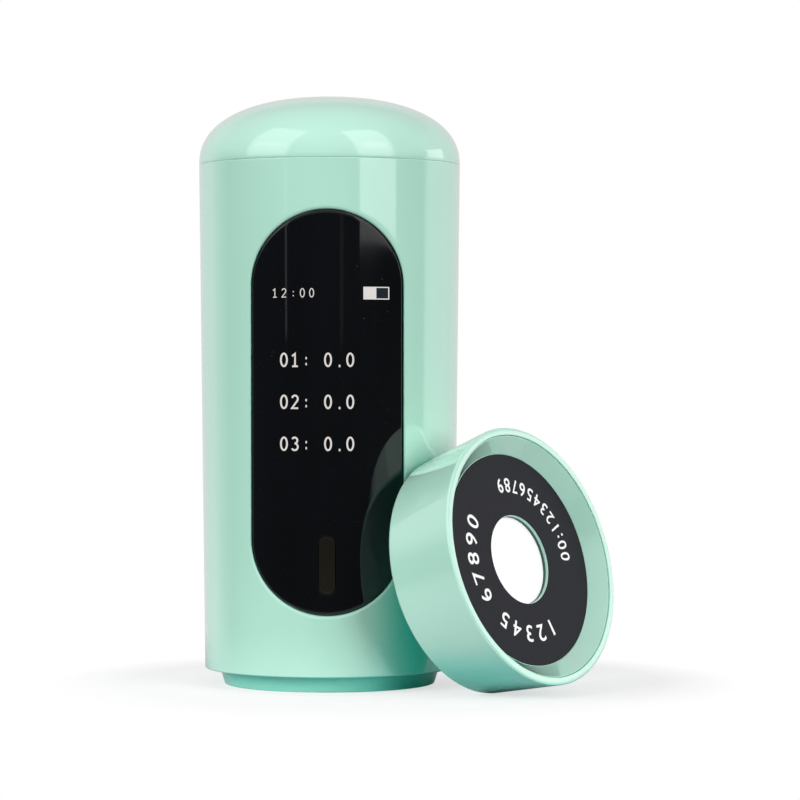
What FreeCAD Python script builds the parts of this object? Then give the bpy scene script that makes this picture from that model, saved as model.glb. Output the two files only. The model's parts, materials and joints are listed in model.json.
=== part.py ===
"""Pocket colour meter with its calibration cap taken off and leaning against the case.

Millimetres. +Z is up and the window faces -Y. The origin is the middle of the nose's flat underside, on the
case's own axis.
"""

import FreeCAD, Part
import math
import os

# Case: a tapered round tube with a floor
CASE_R_SEAM = 16.5
CASE_TAPER = 0.74
CASE_LENGTH = 63.5
CASE_WALL = 2.0
CASE_FLOOR = 1.6
SEAM_CHAMFER = 0.12
FOOT_CHAMFER = 0.2

# Dome cover, a superellipse turned about the case's axis, with a skirt that plugs into the tube
DOME_HEIGHT = 8.55
DOME_POWER = 2.3
DOME_POINTS = 9
DOME_WALL = 1.8
SKIRT_LENGTH = 3.0
SKIRT_WALL = 1.2
SKIRT_FIT = 0.1

# Measuring nose, under the case's floor
NOSE_LENGTH = 2.0
NOSE_STEP = 1.86
NOSE_TAPER = 0.65
SPIGOT_LEDGE = 1.4
SPIGOT_FIT = 0.1

# Measuring port, in the middle of the nose
PORT_R = 4.0
PORT_LENGTH = 1.6
GLASS_REST = 1.0
GLASS_T = 1.0
INSERT_WALL = 0.6

# Window lens, an upright obround that follows the case's own curve
LENS_HALF_ANGLE = 34.54
LENS_ABOVE_FOOT = 7.72
LENS_BELOW_SEAM = 6.43
LENS_T = 1.2
LENS_GAP = 0.1
LENS_CHAMFER = 0.12
GASKET_T = 0.15
LEDGE_WIDTH = 1.0

# Measuring key, an upright obround through the lens
KEY_HALF_WIDTH = 1.0
KEY_HEIGHT = 7.0
KEY_UP_LENS = 6.05
KEY_GAP = 0.1
KEY_RECESS = 0.05
KEY_FLANGE = 0.8
KEY_FLANGE_T = 0.8
KEY_STOP_GAP = 0.15
KEY_POST_R = 1.1
KEY_TRAVEL = 0.4

# Key switch, on its own small board in front of the optics
SWITCH_SIDE = 4.5
SWITCH_BOARD_EDGE = 0.5
SWITCH_PAD = 0.6
SWITCH_T = 2.0
PLUNGER_R = 0.9
PLUNGER_OUT = 1.0
PLUNGER_IN = 0.6
PLUNGER_FIT = 0.05

# Screen and its frame, behind the lens and above the key
PANEL_INSET = 0.35
PANEL_ABOVE_KEY = 3.4
PANEL_BELOW_LENS = 4.55
PANEL_T = 1.6
PANEL_GAP = 0.25
FRAME_T = 0.9
FRAME_LIP = 0.6
FRAME_RAIL = 1.8

# Main board, upright behind the screen
BOARD_T = 1.0
BOARD_PAST_PANEL = 3.6
BOARD_CLEAR = 0.5
CHIP_T = 0.9
CHIP_SIDES = (5.0, 3.2, 3.0)
CHIP_X = 4.2

# Screws: one size for boards and chassis
SCREW_R = 0.7
SCREW_HEAD_R = 1.3
SCREW_HEAD_T = 0.8
SCREW_GRIP = 2.6
SCREW_FIT = 0.1
BOSS_R = 1.7
BOARD_SCREW_X = 8.0
BOARD_SCREW_EDGE = 1.6
BOARD_SCREW_PAST = 2.1

# Chassis, an upright plate with a cradle for the cell
BOSS_LENGTH = 3.0
CHASSIS_T = 1.4
CHASSIS_GAP = 2.0
CHASSIS_TOP_DROP = 1.0
CRADLE_WEB = 1.4
CRADLE_INSET = 0.9
CRADLE_END_T = 1.2
CLIP_T = 1.1
CLIP_WIDTH = 3.0
CLIP_HOOK = 2.3
FOOT_GAP = 1.6
FOOT_BEHIND = 3.35
FOOT_T = 1.4
FOOT_R = 2.0

# Rechargeable cell, as large as the room behind the chassis allows, and its two leads
CELL_BEHIND_GAP = 2.25
CELL_BELOW_SEAM = 2.8
CELL_FIT = 0.1
LEAD_R = 0.45
LEAD_SPREAD = 1.2
LEAD_RISE = 1.9
LEAD_BEND = 1.5
PLUG_WIDTH = 5.0
PLUG_T = 2.2
PLUG_HEIGHT = 3.5
PLUG_DROP = 7.0

# Optics under the case's middle
OPTICS_FLANGE_GAP = 0.4
OPTICS_FLANGE_T = 1.6
OPTICS_R = 5.6
OPTICS_SEAT_WALL = 0.6
OPTICS_STEP = 0.5
OPTICS_HEIGHT = 11.8
EAR_R = 1.9
EAR_WEB = 1.4
RING_SEAT = 5.4
RING_BOARD_T = 1.0
RING_FIT = 0.1
LED_COUNT = 8
LED_EDGE = 0.4
LED_SIDE = 1.2
LED_T = 0.8
PIN_R = 0.25
PIN_EDGE = 0.5
PIN_COUNT = 4
BAFFLE_R = 2.3
BAFFLE_WALL = 0.5
BAFFLE_BELOW = 4.1
BAFFLE_ABOVE = 3.2
BAFFLE_FLANGE_R = 3.5
BAFFLE_FLANGE_T = 0.8
COLLECTOR_T = 1.6
COLLECTOR_BULGE = 0.5

# Screws and magnets of the nose
NOSE_CIRCLE_INSET = 1.9
OPTICS_SCREW_COUNT = 3
OPTICS_SCREW_GRIP = 2.4
MAGNET_COUNT = 3
MAGNET_R = 1.0
MAGNET_T = 2.0
MAGNET_SKIN = 0.7

# Sensor board, level on top of the optics
SENSOR_BOARD_GAP = 1.4
SENSOR_BOARD_T = 1.0
SENSOR_SIDE = 2.6
SENSOR_T = 0.9

# Flat ribbons
RIBBON_T = 0.15
SCREEN_RIBBON_INSET = 3.3
SENSOR_RIBBON_WIDTH = 2.6
SENSOR_RIBBON_X = 4.6
SENSOR_RIBBON_RUN = 2.6
SENSOR_RIBBON_RISE = 6.0
RIBBON_BEND = 0.7

# Charging socket at the back
USB_WIDTH = 8.94
USB_HEIGHT = 3.2
USB_LENGTH = 7.35
USB_SKIN = 0.3
USB_DEPTH = 6.2
USB_SUNK = 0.95
USB_GAP = 0.2
TONGUE_WIDTH = 6.7
TONGUE_T = 0.7
TONGUE_LENGTH = 4.4
CRADLE_OVER_USB = 0.3

# Calibration cap, on its own axis, from its closed back to its mouth
CAP_OVER_FOOT = 0.36
CAP_TAPER = 1.26
CAP_LENGTH = 10.55
CAP_EDGE_R = 0.6
CAP_LIP_R = 0.25
CAP_WALL = 0.95
CAP_BACK_T = 1.4
CAP_INSERT_FIT = 0.02
CAP_DISH_FIT = 0.05
CAP_DISH_FLOOR = 1.2
CAP_SKIRT_T = 1.2
LABEL_T = 0.12
LABEL_EDGE = 0.06
TILE_HOLE_R = 5.5
TILE_REST = 0.5
TILE_T = 2.0
TILE_DEPTH = 0.75
TILE_FIT = 0.1
TILE_COLLAR_T = 1.2
TILE_PAD_T = 1.2
TILE_POST_INSET = 0.6

# Where the cap stands: its axis turned from +X, its lean, its shift across that axis and its gap to the case
CAP_TURN = -38.5
CAP_LEAN = 15.8
CAP_ACROSS = 2.18
CAP_GAP = 0.25

UP = FreeCAD.Vector(0, 0, 1)
BACK = FreeCAD.Vector(0, 1, 0)
SIDES = (-1, 1)
FAR = 40.0

# Heights that follow from the sizes above
SEAM_Z = NOSE_LENGTH + CASE_LENGTH
FLOOR_TOP_Z = NOSE_LENGTH + CASE_FLOOR
LENS_LOW_Z = NOSE_LENGTH + LENS_ABOVE_FOOT
LENS_TOP_Z = SEAM_Z - LENS_BELOW_SEAM
LENS_MIDDLE_Z = (LENS_LOW_Z + LENS_TOP_Z) / 2
FLANGE_HALF_WIDTH = KEY_HALF_WIDTH + KEY_FLANGE
FLANGE_HEIGHT = KEY_HEIGHT + 2 * KEY_FLANGE
KEY_Z = LENS_LOW_Z + KEY_UP_LENS
SWITCH_BOARD_SIDE = SWITCH_SIDE + 2 * SWITCH_BOARD_EDGE
PANEL_LOW_Z = KEY_Z + FLANGE_HEIGHT / 2 + PANEL_ABOVE_KEY
PANEL_TOP_Z = LENS_TOP_Z - PANEL_BELOW_LENS
BOARD_LOW_Z = KEY_Z + SWITCH_BOARD_SIDE / 2 + BOARD_CLEAR
BOARD_TOP_Z = PANEL_TOP_Z + BOARD_PAST_PANEL
PLUG_LOW_Z = BOARD_TOP_Z - PLUG_DROP
FLANGE_TOP_Z = FLOOR_TOP_Z + OPTICS_FLANGE_T
OPTICS_TOP_Z = FLANGE_TOP_Z + OPTICS_HEIGHT
RING_LOW_Z = FLANGE_TOP_Z + RING_SEAT
RING_TOP_Z = RING_LOW_Z + RING_BOARD_T
SENSOR_TOP_Z = OPTICS_TOP_Z + SENSOR_BOARD_T
USB_Z = SENSOR_TOP_Z + USB_HEIGHT / 2
CRADLE_LOW_Z = SENSOR_TOP_Z + USB_HEIGHT + CRADLE_OVER_USB
CELL_LOW_Z = CRADLE_LOW_Z + CRADLE_END_T
CELL_TOP_Z = SEAM_Z - CELL_BELOW_SEAM
CELL_LENGTH = CELL_TOP_Z - CELL_LOW_Z
CHASSIS_TOP_Z = CELL_TOP_Z - CHASSIS_TOP_DROP


def case_radius(z):
    """Outer radius of the case at a height, on the straight taper."""
    return CASE_R_SEAM - CASE_TAPER * (SEAM_Z - z) / CASE_LENGTH


def room_radius(low_z, high_z):
    """Smallest inner radius of the case between two heights."""
    return min(case_radius(low_z), case_radius(high_z)) - CASE_WALL


def depth_on_round(radius, half_width):
    """How far in front of the axis a round wall stands at a distance from the middle."""
    return math.sqrt(radius ** 2 - half_width ** 2)


# Radii that follow from the case's taper
CASE_R_FOOT = case_radius(NOSE_LENGTH)
NOSE_R_TOP = CASE_R_FOOT - NOSE_STEP
NOSE_R_END = NOSE_R_TOP - NOSE_TAPER
SPIGOT_R = case_radius(FLOOR_TOP_Z) - CASE_WALL - SPIGOT_LEDGE
NOSE_CIRCLE_R = SPIGOT_R - NOSE_CIRCLE_INSET
GLASS_R = PORT_R + GLASS_REST
NOSE_BORE_R = GLASS_R + INSERT_WALL
OPTICS_FLANGE_R = room_radius(FLOOR_TOP_Z, FLANGE_TOP_Z) - OPTICS_FLANGE_GAP
OPTICS_SEAT_R = OPTICS_R - OPTICS_SEAT_WALL
OPTICS_BORE_R = OPTICS_SEAT_R - OPTICS_STEP
LED_CIRCLE_R = OPTICS_BORE_R - LED_EDGE - LED_SIDE / 2
PIN_CIRCLE_R = OPTICS_SEAT_R - PIN_EDGE
BAFFLE_BORE_R = BAFFLE_R - BAFFLE_WALL
SENSOR_BOARD_R = room_radius(OPTICS_TOP_Z, SENSOR_TOP_Z) - SENSOR_BOARD_GAP
CAP_R_MOUTH = CASE_R_FOOT + CAP_OVER_FOOT
CAP_R_BACK = CAP_R_MOUTH - CAP_TAPER
CAP_DISH_R = NOSE_R_END + CAP_DISH_FIT
TILE_R = TILE_HOLE_R + TILE_REST
TILE_POST_R = TILE_R - TILE_POST_INSET

# Depths from front to back, from the lens to the cell and to the socket
LENS_HALF_WIDTH = case_radius(LENS_MIDDLE_Z) * math.sin(math.radians(LENS_HALF_ANGLE))
PANEL_HALF_WIDTH = LENS_HALF_WIDTH - PANEL_INSET
PANEL_FRONT_Y = PANEL_GAP - depth_on_round(room_radius(PANEL_LOW_Z, PANEL_TOP_Z), PANEL_HALF_WIDTH)
PANEL_BACK_Y = PANEL_FRONT_Y + PANEL_T
RIBBON_HALF_WIDTH = PANEL_HALF_WIDTH - SCREEN_RIBBON_INSET
BOARD_HALF_WIDTH = BOARD_SCREW_X + BOARD_SCREW_EDGE
BOARD_FRONT_Y = PANEL_BACK_Y + FRAME_T
BOARD_BACK_Y = BOARD_FRONT_Y + BOARD_T
CHASSIS_FRONT_Y = BOARD_BACK_Y + BOSS_LENGTH
CHASSIS_BACK_Y = CHASSIS_FRONT_Y + CHASSIS_T
CHASSIS_DEPTH = max(abs(CHASSIS_FRONT_Y), abs(CHASSIS_BACK_Y))
CHASSIS_HALF_WIDTH = depth_on_round(room_radius(SENSOR_TOP_Z, CHASSIS_TOP_Z) - CHASSIS_GAP, CHASSIS_DEPTH)
CELL_FRONT_Y = CHASSIS_BACK_Y + CRADLE_WEB + CELL_FIT
CELL_R = (room_radius(CELL_LOW_Z, CELL_TOP_Z) - CELL_BEHIND_GAP - CELL_FRONT_Y) / 2
CELL_Y = CELL_FRONT_Y + CELL_R
FOOT_X = room_radius(OPTICS_TOP_Z, SENSOR_TOP_Z) - FOOT_GAP - FOOT_R
FOOT_Y = CHASSIS_BACK_Y + FOOT_BEHIND
SWITCH_BOARD_BACK_Y = -OPTICS_R - SWITCH_PAD
SWITCH_BOARD_FRONT_Y = SWITCH_BOARD_BACK_Y - BOARD_T
SWITCH_FRONT_Y = SWITCH_BOARD_FRONT_Y - SWITCH_T
KEY_WALL_R = case_radius(KEY_Z - FLANGE_HEIGHT / 2) - LENS_T
FLANGE_FRONT_Y = KEY_STOP_GAP - depth_on_round(KEY_WALL_R, FLANGE_HALF_WIDTH)
USB_MOUTH_Y = case_radius(USB_Z) - USB_SUNK
USB_BACK_Y = USB_MOUTH_Y - USB_LENGTH


def cylinder(radius, low_z, high_z, x=0.0, y=0.0):
    """Upright round bar between two heights."""
    return Part.makeCylinder(radius, high_z - low_z, FreeCAD.Vector(x, y, low_z), UP)


def cone(low_r, high_r, low_z, high_z):
    """Upright round bar whose radius changes evenly."""
    return Part.makeCone(low_r, high_r, high_z - low_z, FreeCAD.Vector(0, 0, low_z), UP)


def bar_back(radius, front_y, back_y, x, z):
    """Round bar that runs from front to back."""
    return Part.makeCylinder(radius, back_y - front_y, FreeCAD.Vector(x, front_y, z), BACK)


def block(low_x, high_x, low_y, high_y, low_z, high_z):
    """Square block between its lowest and highest corners."""
    corner = FreeCAD.Vector(low_x, low_y, low_z)
    return Part.makeBox(high_x - low_x, high_y - low_y, high_z - low_z, corner)


def case_body(inset, low_z, high_z):
    """Solid with the case's taper, smaller all round by an inset."""
    return cone(case_radius(low_z) - inset, case_radius(high_z) - inset, low_z, high_z)


def turned(outline):
    """Solid turned about the axis from a closed outline of edges in the XZ plane."""
    face = Part.Face(Part.Wire(outline))
    return face.revolve(FreeCAD.Vector(0, 0, 0), UP, 360)


def line(start, end):
    """Straight edge in the XZ plane from two (x, z) pairs."""
    return Part.makeLine(FreeCAD.Vector(start[0], 0, start[1]), FreeCAD.Vector(end[0], 0, end[1]))


def closed_lines(points):
    """Closed outline of straight edges through (x, z) pairs."""
    return [line(points[i - 1], points[i]) for i in range(len(points))]


def upright_obround(half_width, height, middle_z, front_y, back_y):
    """Bar from front to back whose section is upright with half-round ends."""
    rise = height / 2 - half_width
    slab = block(-half_width, half_width, front_y, back_y, middle_z - rise, middle_z + rise)
    ends = [bar_back(half_width, front_y, back_y, 0, middle_z + side * rise) for side in SIDES]
    return slab.multiFuse(ends).removeSplitter()


def level_obround(width, height, middle_z, front_y, back_y):
    """Bar from front to back whose section lies level with half-round ends."""
    reach = width / 2 - height / 2
    slab = block(-reach, reach, front_y, back_y, middle_z - height / 2, middle_z + height / 2)
    ends = [bar_back(height / 2, front_y, back_y, side * reach, middle_z) for side in SIDES]
    return slab.multiFuse(ends).removeSplitter()


def on_circle(radius, count, start_degrees):
    """Places evenly round a circle, as (x, y) pairs."""
    angles = [math.radians(start_degrees + 360 * i / count) for i in range(count)]
    return [(radius * math.cos(a), radius * math.sin(a)) for a in angles]


def chamfered(solid, size, wanted):
    """Solid with a chamfer on each edge that a test picks out."""
    edges = [edge for edge in solid.Edges if wanted(edge)]
    return solid.makeChamfer(size, edges)


def level_ring_at(z, radius):
    """Test for a full level circle of a given radius and height."""
    def wanted(edge):
        curve = edge.Curve
        if not isinstance(curve, Part.Circle):
            return False
        return abs(curve.Center.z - z) < 1e-4 and abs(curve.Radius - radius) < 1e-4
    return wanted


def lens_outline(shrink, front_y, back_y):
    """Bar with the lens's outline, smaller all round by shrink."""
    height = LENS_TOP_Z - LENS_LOW_Z - 2 * shrink
    return upright_obround(LENS_HALF_WIDTH - shrink, height, LENS_MIDDLE_Z, front_y, back_y)


def case_skin(outer_inset, inner_inset):
    """Front half of a tapered shell between two insets."""
    shell = case_body(outer_inset, NOSE_LENGTH, SEAM_Z).cut(case_body(inner_inset, NOSE_LENGTH, SEAM_Z))
    return shell.common(block(-FAR, FAR, -FAR, 0, 0, SEAM_Z))


def body_shell():
    """Tapered tube with a floor, the window's stepped opening and the socket's slot."""
    outer = case_body(0, NOSE_LENGTH, SEAM_Z)
    outer = chamfered(outer, SEAM_CHAMFER, level_ring_at(SEAM_Z, CASE_R_SEAM))
    outer = chamfered(outer, FOOT_CHAMFER, level_ring_at(NOSE_LENGTH, CASE_R_FOOT))
    tube = outer.cut(case_body(CASE_WALL, FLOOR_TOP_Z, SEAM_Z))
    tube = tube.cut(cylinder(SPIGOT_R + SPIGOT_FIT, NOSE_LENGTH, FLOOR_TOP_Z))
    recess = case_skin(-LENS_T, LENS_T + GASKET_T).common(lens_outline(-LENS_GAP, -FAR, 0))
    tube = tube.cut(recess)
    tube = tube.cut(lens_outline(LEDGE_WIDTH, -FAR, 0))
    slot = level_obround(USB_WIDTH + 2 * USB_GAP, USB_HEIGHT + 2 * USB_GAP, USB_Z, USB_BACK_Y, FAR)
    return tube.cut(slot)


def dome_curve(radius, height):
    """Quarter superellipse from the seam to the top, as one smooth edge."""
    points = []
    for i in range(DOME_POINTS):
        turn = math.pi / 2 * i / (DOME_POINTS - 1)
        across = radius * max(math.cos(turn), 0.0) ** (2 / DOME_POWER)
        rise = height * math.sin(turn) ** (2 / DOME_POWER)
        points.append(FreeCAD.Vector(across, 0, SEAM_Z + rise))
    points[-1] = FreeCAD.Vector(0, 0, SEAM_Z + height)
    curve = Part.BSplineCurve()
    curve.interpolate(Points=points, InitialTangent=UP, FinalTangent=FreeCAD.Vector(-1, 0, 0))
    return curve.toShape()


def dome_body(radius, height):
    """Solid dome that stands on the seam."""
    top = (0, SEAM_Z + height)
    return turned([dome_curve(radius, height), line(top, (0, SEAM_Z)), line((0, SEAM_Z), (radius, SEAM_Z))])


def top_cover():
    """Dome with an even wall and a skirt that plugs into the tube."""
    dome = dome_body(CASE_R_SEAM, DOME_HEIGHT)
    dome = dome.cut(seam_bevel())
    skirt_r = case_radius(SEAM_Z - SKIRT_LENGTH) - CASE_WALL - SKIRT_FIT
    skirt = cylinder(skirt_r, SEAM_Z - SKIRT_LENGTH, SEAM_Z)
    hollow_r = skirt_r - SKIRT_WALL
    hollow = dome_body(hollow_r, DOME_HEIGHT - DOME_WALL)
    well = cylinder(hollow_r, SEAM_Z - SKIRT_LENGTH, SEAM_Z)
    return dome.fuse(skirt).cut(hollow.fuse(well))


def seam_bevel():
    """Ring that takes the sharp edge off the dome where it meets the tube."""
    low = SEAM_Z
    high = SEAM_Z + SEAM_CHAMFER
    return turned(closed_lines([
        (CASE_R_SEAM - SEAM_CHAMFER, low),
        (CASE_R_SEAM + SEAM_CHAMFER, low),
        (CASE_R_SEAM + SEAM_CHAMFER, high + SEAM_CHAMFER),
    ]))


def on_case_skin(edge):
    """Test for an edge that lies on the tube's outer surface."""
    points = [edge.valueAt(edge.FirstParameter + share * (edge.LastParameter - edge.FirstParameter))
              for share in (0.2, 0.5, 0.8)]
    return all(abs(math.hypot(point.x, point.y) - case_radius(point.z)) < 1e-3 for point in points)


def window_lens():
    """Curved obround window, flush with the tube, with the key's hole through it."""
    lens = case_skin(0, LENS_T).common(lens_outline(0, -FAR, 0))
    lens = chamfered(lens, LENS_CHAMFER, on_case_skin)
    hole = upright_obround(KEY_HALF_WIDTH + KEY_GAP, KEY_HEIGHT + 2 * KEY_GAP, KEY_Z, -FAR, 0)
    return lens.cut(hole)


def lens_gasket():
    """Thin seal between the lens's edge and the ledge of the tube."""
    ring = case_skin(LENS_T, LENS_T + GASKET_T).common(lens_outline(0, -FAR, 0))
    return ring.cut(lens_outline(LEDGE_WIDTH, -FAR, 0))


def measure_key():
    """Pill key with a flange behind the lens and a post to the switch."""
    stem = upright_obround(KEY_HALF_WIDTH, KEY_HEIGHT, KEY_Z, -FAR, FLANGE_FRONT_Y)
    stem = stem.common(case_body(KEY_RECESS, NOSE_LENGTH, SEAM_Z))
    flange_back_y = FLANGE_FRONT_Y + KEY_FLANGE_T
    flange = upright_obround(FLANGE_HALF_WIDTH, FLANGE_HEIGHT, KEY_Z, FLANGE_FRONT_Y, flange_back_y)
    post = bar_back(KEY_POST_R, flange_back_y, SWITCH_FRONT_Y - PLUNGER_OUT, 0, KEY_Z)
    return stem.multiFuse([flange, post]).removeSplitter()


def key_board():
    """Small upright board that carries the key's switch, on a pad of the optics."""
    half = SWITCH_BOARD_SIDE / 2
    return block(-half, half, SWITCH_BOARD_FRONT_Y, SWITCH_BOARD_BACK_Y, KEY_Z - half, KEY_Z + half)


def key_switch():
    """Switch body on its board, with a pocket for its plunger."""
    half = SWITCH_SIDE / 2
    body = block(-half, half, SWITCH_FRONT_Y, SWITCH_BOARD_FRONT_Y, KEY_Z - half, KEY_Z + half)
    pocket_y = SWITCH_FRONT_Y + PLUNGER_IN + KEY_TRAVEL + PLUNGER_FIT
    return body.cut(bar_back(PLUNGER_R + PLUNGER_FIT, SWITCH_FRONT_Y, pocket_y, 0, KEY_Z))


def switch_plunger():
    """Round plunger between the key's post and the switch's inside."""
    return bar_back(PLUNGER_R, SWITCH_FRONT_Y - PLUNGER_OUT, SWITCH_FRONT_Y + PLUNGER_IN, 0, KEY_Z)


def display_panel():
    """Flat screen behind the lens."""
    return block(-PANEL_HALF_WIDTH, PANEL_HALF_WIDTH, PANEL_FRONT_Y, PANEL_BACK_Y, PANEL_LOW_Z, PANEL_TOP_Z)


def display_frame():
    """Open frame between screen and board, with lips at the screen's ends and a gap for its ribbon."""
    half = PANEL_HALF_WIDTH
    low = PANEL_LOW_Z - FRAME_LIP
    high = PANEL_TOP_Z + FRAME_LIP
    lip_front = PANEL_BACK_Y - PANEL_T / 2
    frame = block(-half, half, lip_front, BOARD_FRONT_Y, low, high)
    frame = frame.cut(block(-half, half, lip_front, PANEL_BACK_Y, PANEL_LOW_Z, PANEL_TOP_Z))
    window = half - FRAME_RAIL
    frame = frame.cut(block(-window, window, PANEL_BACK_Y, BOARD_FRONT_Y,
                            PANEL_LOW_Z + FRAME_RAIL, PANEL_TOP_Z - FRAME_RAIL))
    pass_half = RIBBON_HALF_WIDTH + BOARD_CLEAR
    return frame.cut(block(-pass_half, pass_half, lip_front, BOARD_FRONT_Y, low, PANEL_LOW_Z + FRAME_RAIL))


def bent_path(corners, bend):
    """Path of straight runs joined by tangent arcs through corners given as (y, z) pairs."""
    points = [FreeCAD.Vector(0, y, z) for y, z in corners]
    edges = []
    start = points[0]
    for i in range(1, len(points) - 1):
        before = (points[i - 1] - points[i]).normalize()
        after = (points[i + 1] - points[i]).normalize()
        half_angle = before.getAngle(after) / 2
        setback = bend / math.tan(half_angle)
        arc_start = points[i] + before * setback
        arc_end = points[i] + after * setback
        inward = (before + after).normalize()
        centre = points[i] + inward * (bend / math.sin(half_angle))
        edges.append(Part.makeLine(start, arc_start))
        edges.append(Part.Arc(arc_start, centre - inward * bend, arc_end).toShape())
        start = arc_end
    edges.append(Part.makeLine(start, points[-1]))
    return Part.Wire(edges)


def ribbon(corners, bend, width, x):
    """Flat strip that follows a bent path, its middle at a distance from the case's middle plane."""
    path = bent_path(corners, bend)
    start = path.Edges[0].Vertexes[0].Point
    run = path.Edges[0].tangentAt(path.Edges[0].FirstParameter)
    path.translate(FreeCAD.Vector(x, 0, 0))
    start = start + FreeCAD.Vector(x, 0, 0)
    across = FreeCAD.Vector(width / 2, 0, 0)
    through = run.cross(FreeCAD.Vector(1, 0, 0)).normalize() * (RIBBON_T / 2)
    near = [start - across - through, start + across - through]
    far = [start + across + through, start - across + through]
    section = Part.makePolygon(near + far + near[:1])
    return path.makePipeShell([section], True, False)


def wire_lead(corners, bend, x):
    """Round lead that follows a bent path at one side of the middle."""
    path = bent_path(corners, bend)
    start = path.Edges[0].Vertexes[0].Point
    run = path.Edges[0].tangentAt(path.Edges[0].FirstParameter)
    section = Part.Wire([Part.makeCircle(LEAD_R, start, run)])
    lead = path.makePipeShell([section], True, False)
    lead.translate(FreeCAD.Vector(x, 0, 0))
    return lead


def display_ribbon():
    """Ribbon from the screen's lower edge to the front of the main board."""
    screen_y = PANEL_BACK_Y - PANEL_T / 2
    board_y = BOARD_FRONT_Y - RIBBON_T / 2
    step = board_y - screen_y
    low_z = PANEL_LOW_Z - 2 * step
    corners = [(screen_y, PANEL_LOW_Z), (screen_y, PANEL_LOW_Z - step / 2), (board_y, low_z),
               (board_y, low_z - step)]
    return ribbon(corners, RIBBON_BEND, 2 * RIBBON_HALF_WIDTH, 0)


def level_screw(x, z):
    """Screw from the front of the main board back into the chassis, with a round socket in its head."""
    head_y = BOARD_FRONT_Y - SCREW_HEAD_T
    head = bar_back(SCREW_HEAD_R, head_y, BOARD_FRONT_Y, x, z)
    shank = bar_back(SCREW_R, BOARD_FRONT_Y, BOARD_BACK_Y + SCREW_GRIP, x, z)
    socket = bar_back(SCREW_R, head_y, head_y + SCREW_HEAD_T / 2, x, z)
    return head.fuse(shank).cut(socket)


def upright_screw(x, y, seat_z, length):
    """Screw that points down, with its head on a seat."""
    head = cylinder(SCREW_HEAD_R, seat_z, seat_z + SCREW_HEAD_T, x, y)
    shank = cylinder(SCREW_R, seat_z - length, seat_z, x, y)
    socket = cylinder(SCREW_R, seat_z + SCREW_HEAD_T / 2, seat_z + SCREW_HEAD_T, x, y)
    return head.fuse(shank).cut(socket)


def board_screw_places():
    """Four corners of the main board, as (x, z) pairs."""
    heights = (PANEL_LOW_Z - BOARD_SCREW_PAST, PANEL_TOP_Z + BOARD_SCREW_PAST)
    return [(side * BOARD_SCREW_X, z) for side in SIDES for z in heights]


def main_board():
    """Upright board with a hole at each corner."""
    half = BOARD_HALF_WIDTH
    board = block(-half, half, BOARD_FRONT_Y, BOARD_BACK_Y, BOARD_LOW_Z, BOARD_TOP_Z)
    hole_r = SCREW_R + SCREW_FIT
    holes = [bar_back(hole_r, BOARD_FRONT_Y, BOARD_BACK_Y, x, z) for x, z in board_screw_places()]
    return board.cut(Part.makeCompound(holes))


def main_board_chips():
    """Chips on the board's back, evenly up the room between ribbon and plug, left and right in turn."""
    ribbon_top_z = SENSOR_TOP_Z + RIBBON_T / 2 + SENSOR_RIBBON_RISE
    pitch = (PLUG_LOW_Z - ribbon_top_z) / (len(CHIP_SIDES) + 1)
    chips = []
    for i in range(len(CHIP_SIDES)):
        x = -CHIP_X if i % 2 == 0 else CHIP_X
        z = ribbon_top_z + (i + 1) * pitch
        half = CHIP_SIDES[i] / 2
        chips.append(block(x - half, x + half, BOARD_BACK_Y, BOARD_BACK_Y + CHIP_T, z - half, z + half))
    return Part.makeCompound(chips)


def board_screws():
    """Screws that hold the main board to the chassis."""
    return Part.makeCompound([level_screw(x, z) for x, z in board_screw_places()])


def chassis_feet():
    """Places of the two feet, as (x, y) pairs."""
    return [(side * FOOT_X, FOOT_Y) for side in SIDES]


def chassis():
    """Upright plate with board bosses, a cradle with two spring clips for the cell, and two screwed feet."""
    half = CHASSIS_HALF_WIDTH
    plate = block(-half, half, CHASSIS_FRONT_Y, CHASSIS_BACK_Y, BOARD_LOW_Z, CHASSIS_TOP_Z)
    pieces = [bar_back(BOSS_R, BOARD_BACK_Y, CHASSIS_FRONT_Y, x, z) for x, z in board_screw_places()]
    hold = CELL_R - CRADLE_INSET
    rest_y = CELL_Y - CELL_R / 2
    pieces.append(block(-hold, hold, CHASSIS_BACK_Y, rest_y, CRADLE_LOW_Z, CHASSIS_TOP_Z))
    pieces.append(cylinder(CELL_R, CRADLE_LOW_Z, CELL_LOW_Z, 0, CELL_Y))
    clip_r = CELL_R + CELL_FIT + CLIP_T
    for share in (1 / 4, 3 / 4):
        middle = CELL_LOW_Z + share * CELL_LENGTH
        ring = cylinder(clip_r, middle - CLIP_WIDTH / 2, middle + CLIP_WIDTH / 2, 0, CELL_Y)
        mouth = block(CLIP_HOOK - CELL_R, CELL_R - CLIP_HOOK, CELL_Y, CELL_Y + clip_r,
                      middle - CLIP_WIDTH / 2, middle + CLIP_WIDTH / 2)
        pieces.append(ring.cut(mouth))
    foot_top_z = SENSOR_TOP_Z + FOOT_T
    for x, y in chassis_feet():
        pieces.append(cylinder(FOOT_R, SENSOR_TOP_Z, foot_top_z, x, y))
        pieces.append(block(x - FOOT_R / 2, x + FOOT_R / 2, CHASSIS_FRONT_Y, y, SENSOR_TOP_Z, foot_top_z))
    body = plate.multiFuse(pieces)
    cuts = [cylinder(CELL_R + CELL_FIT, CELL_LOW_Z, CELL_TOP_Z, 0, CELL_Y)]
    grip_y = BOARD_BACK_Y + SCREW_GRIP
    cuts += [bar_back(SCREW_R, BOARD_BACK_Y, grip_y, x, z) for x, z in board_screw_places()]
    cuts += [cylinder(SCREW_R + SCREW_FIT, SENSOR_TOP_Z, foot_top_z, x, y) for x, y in chassis_feet()]
    return body.cut(Part.makeCompound(cuts)).removeSplitter()


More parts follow.
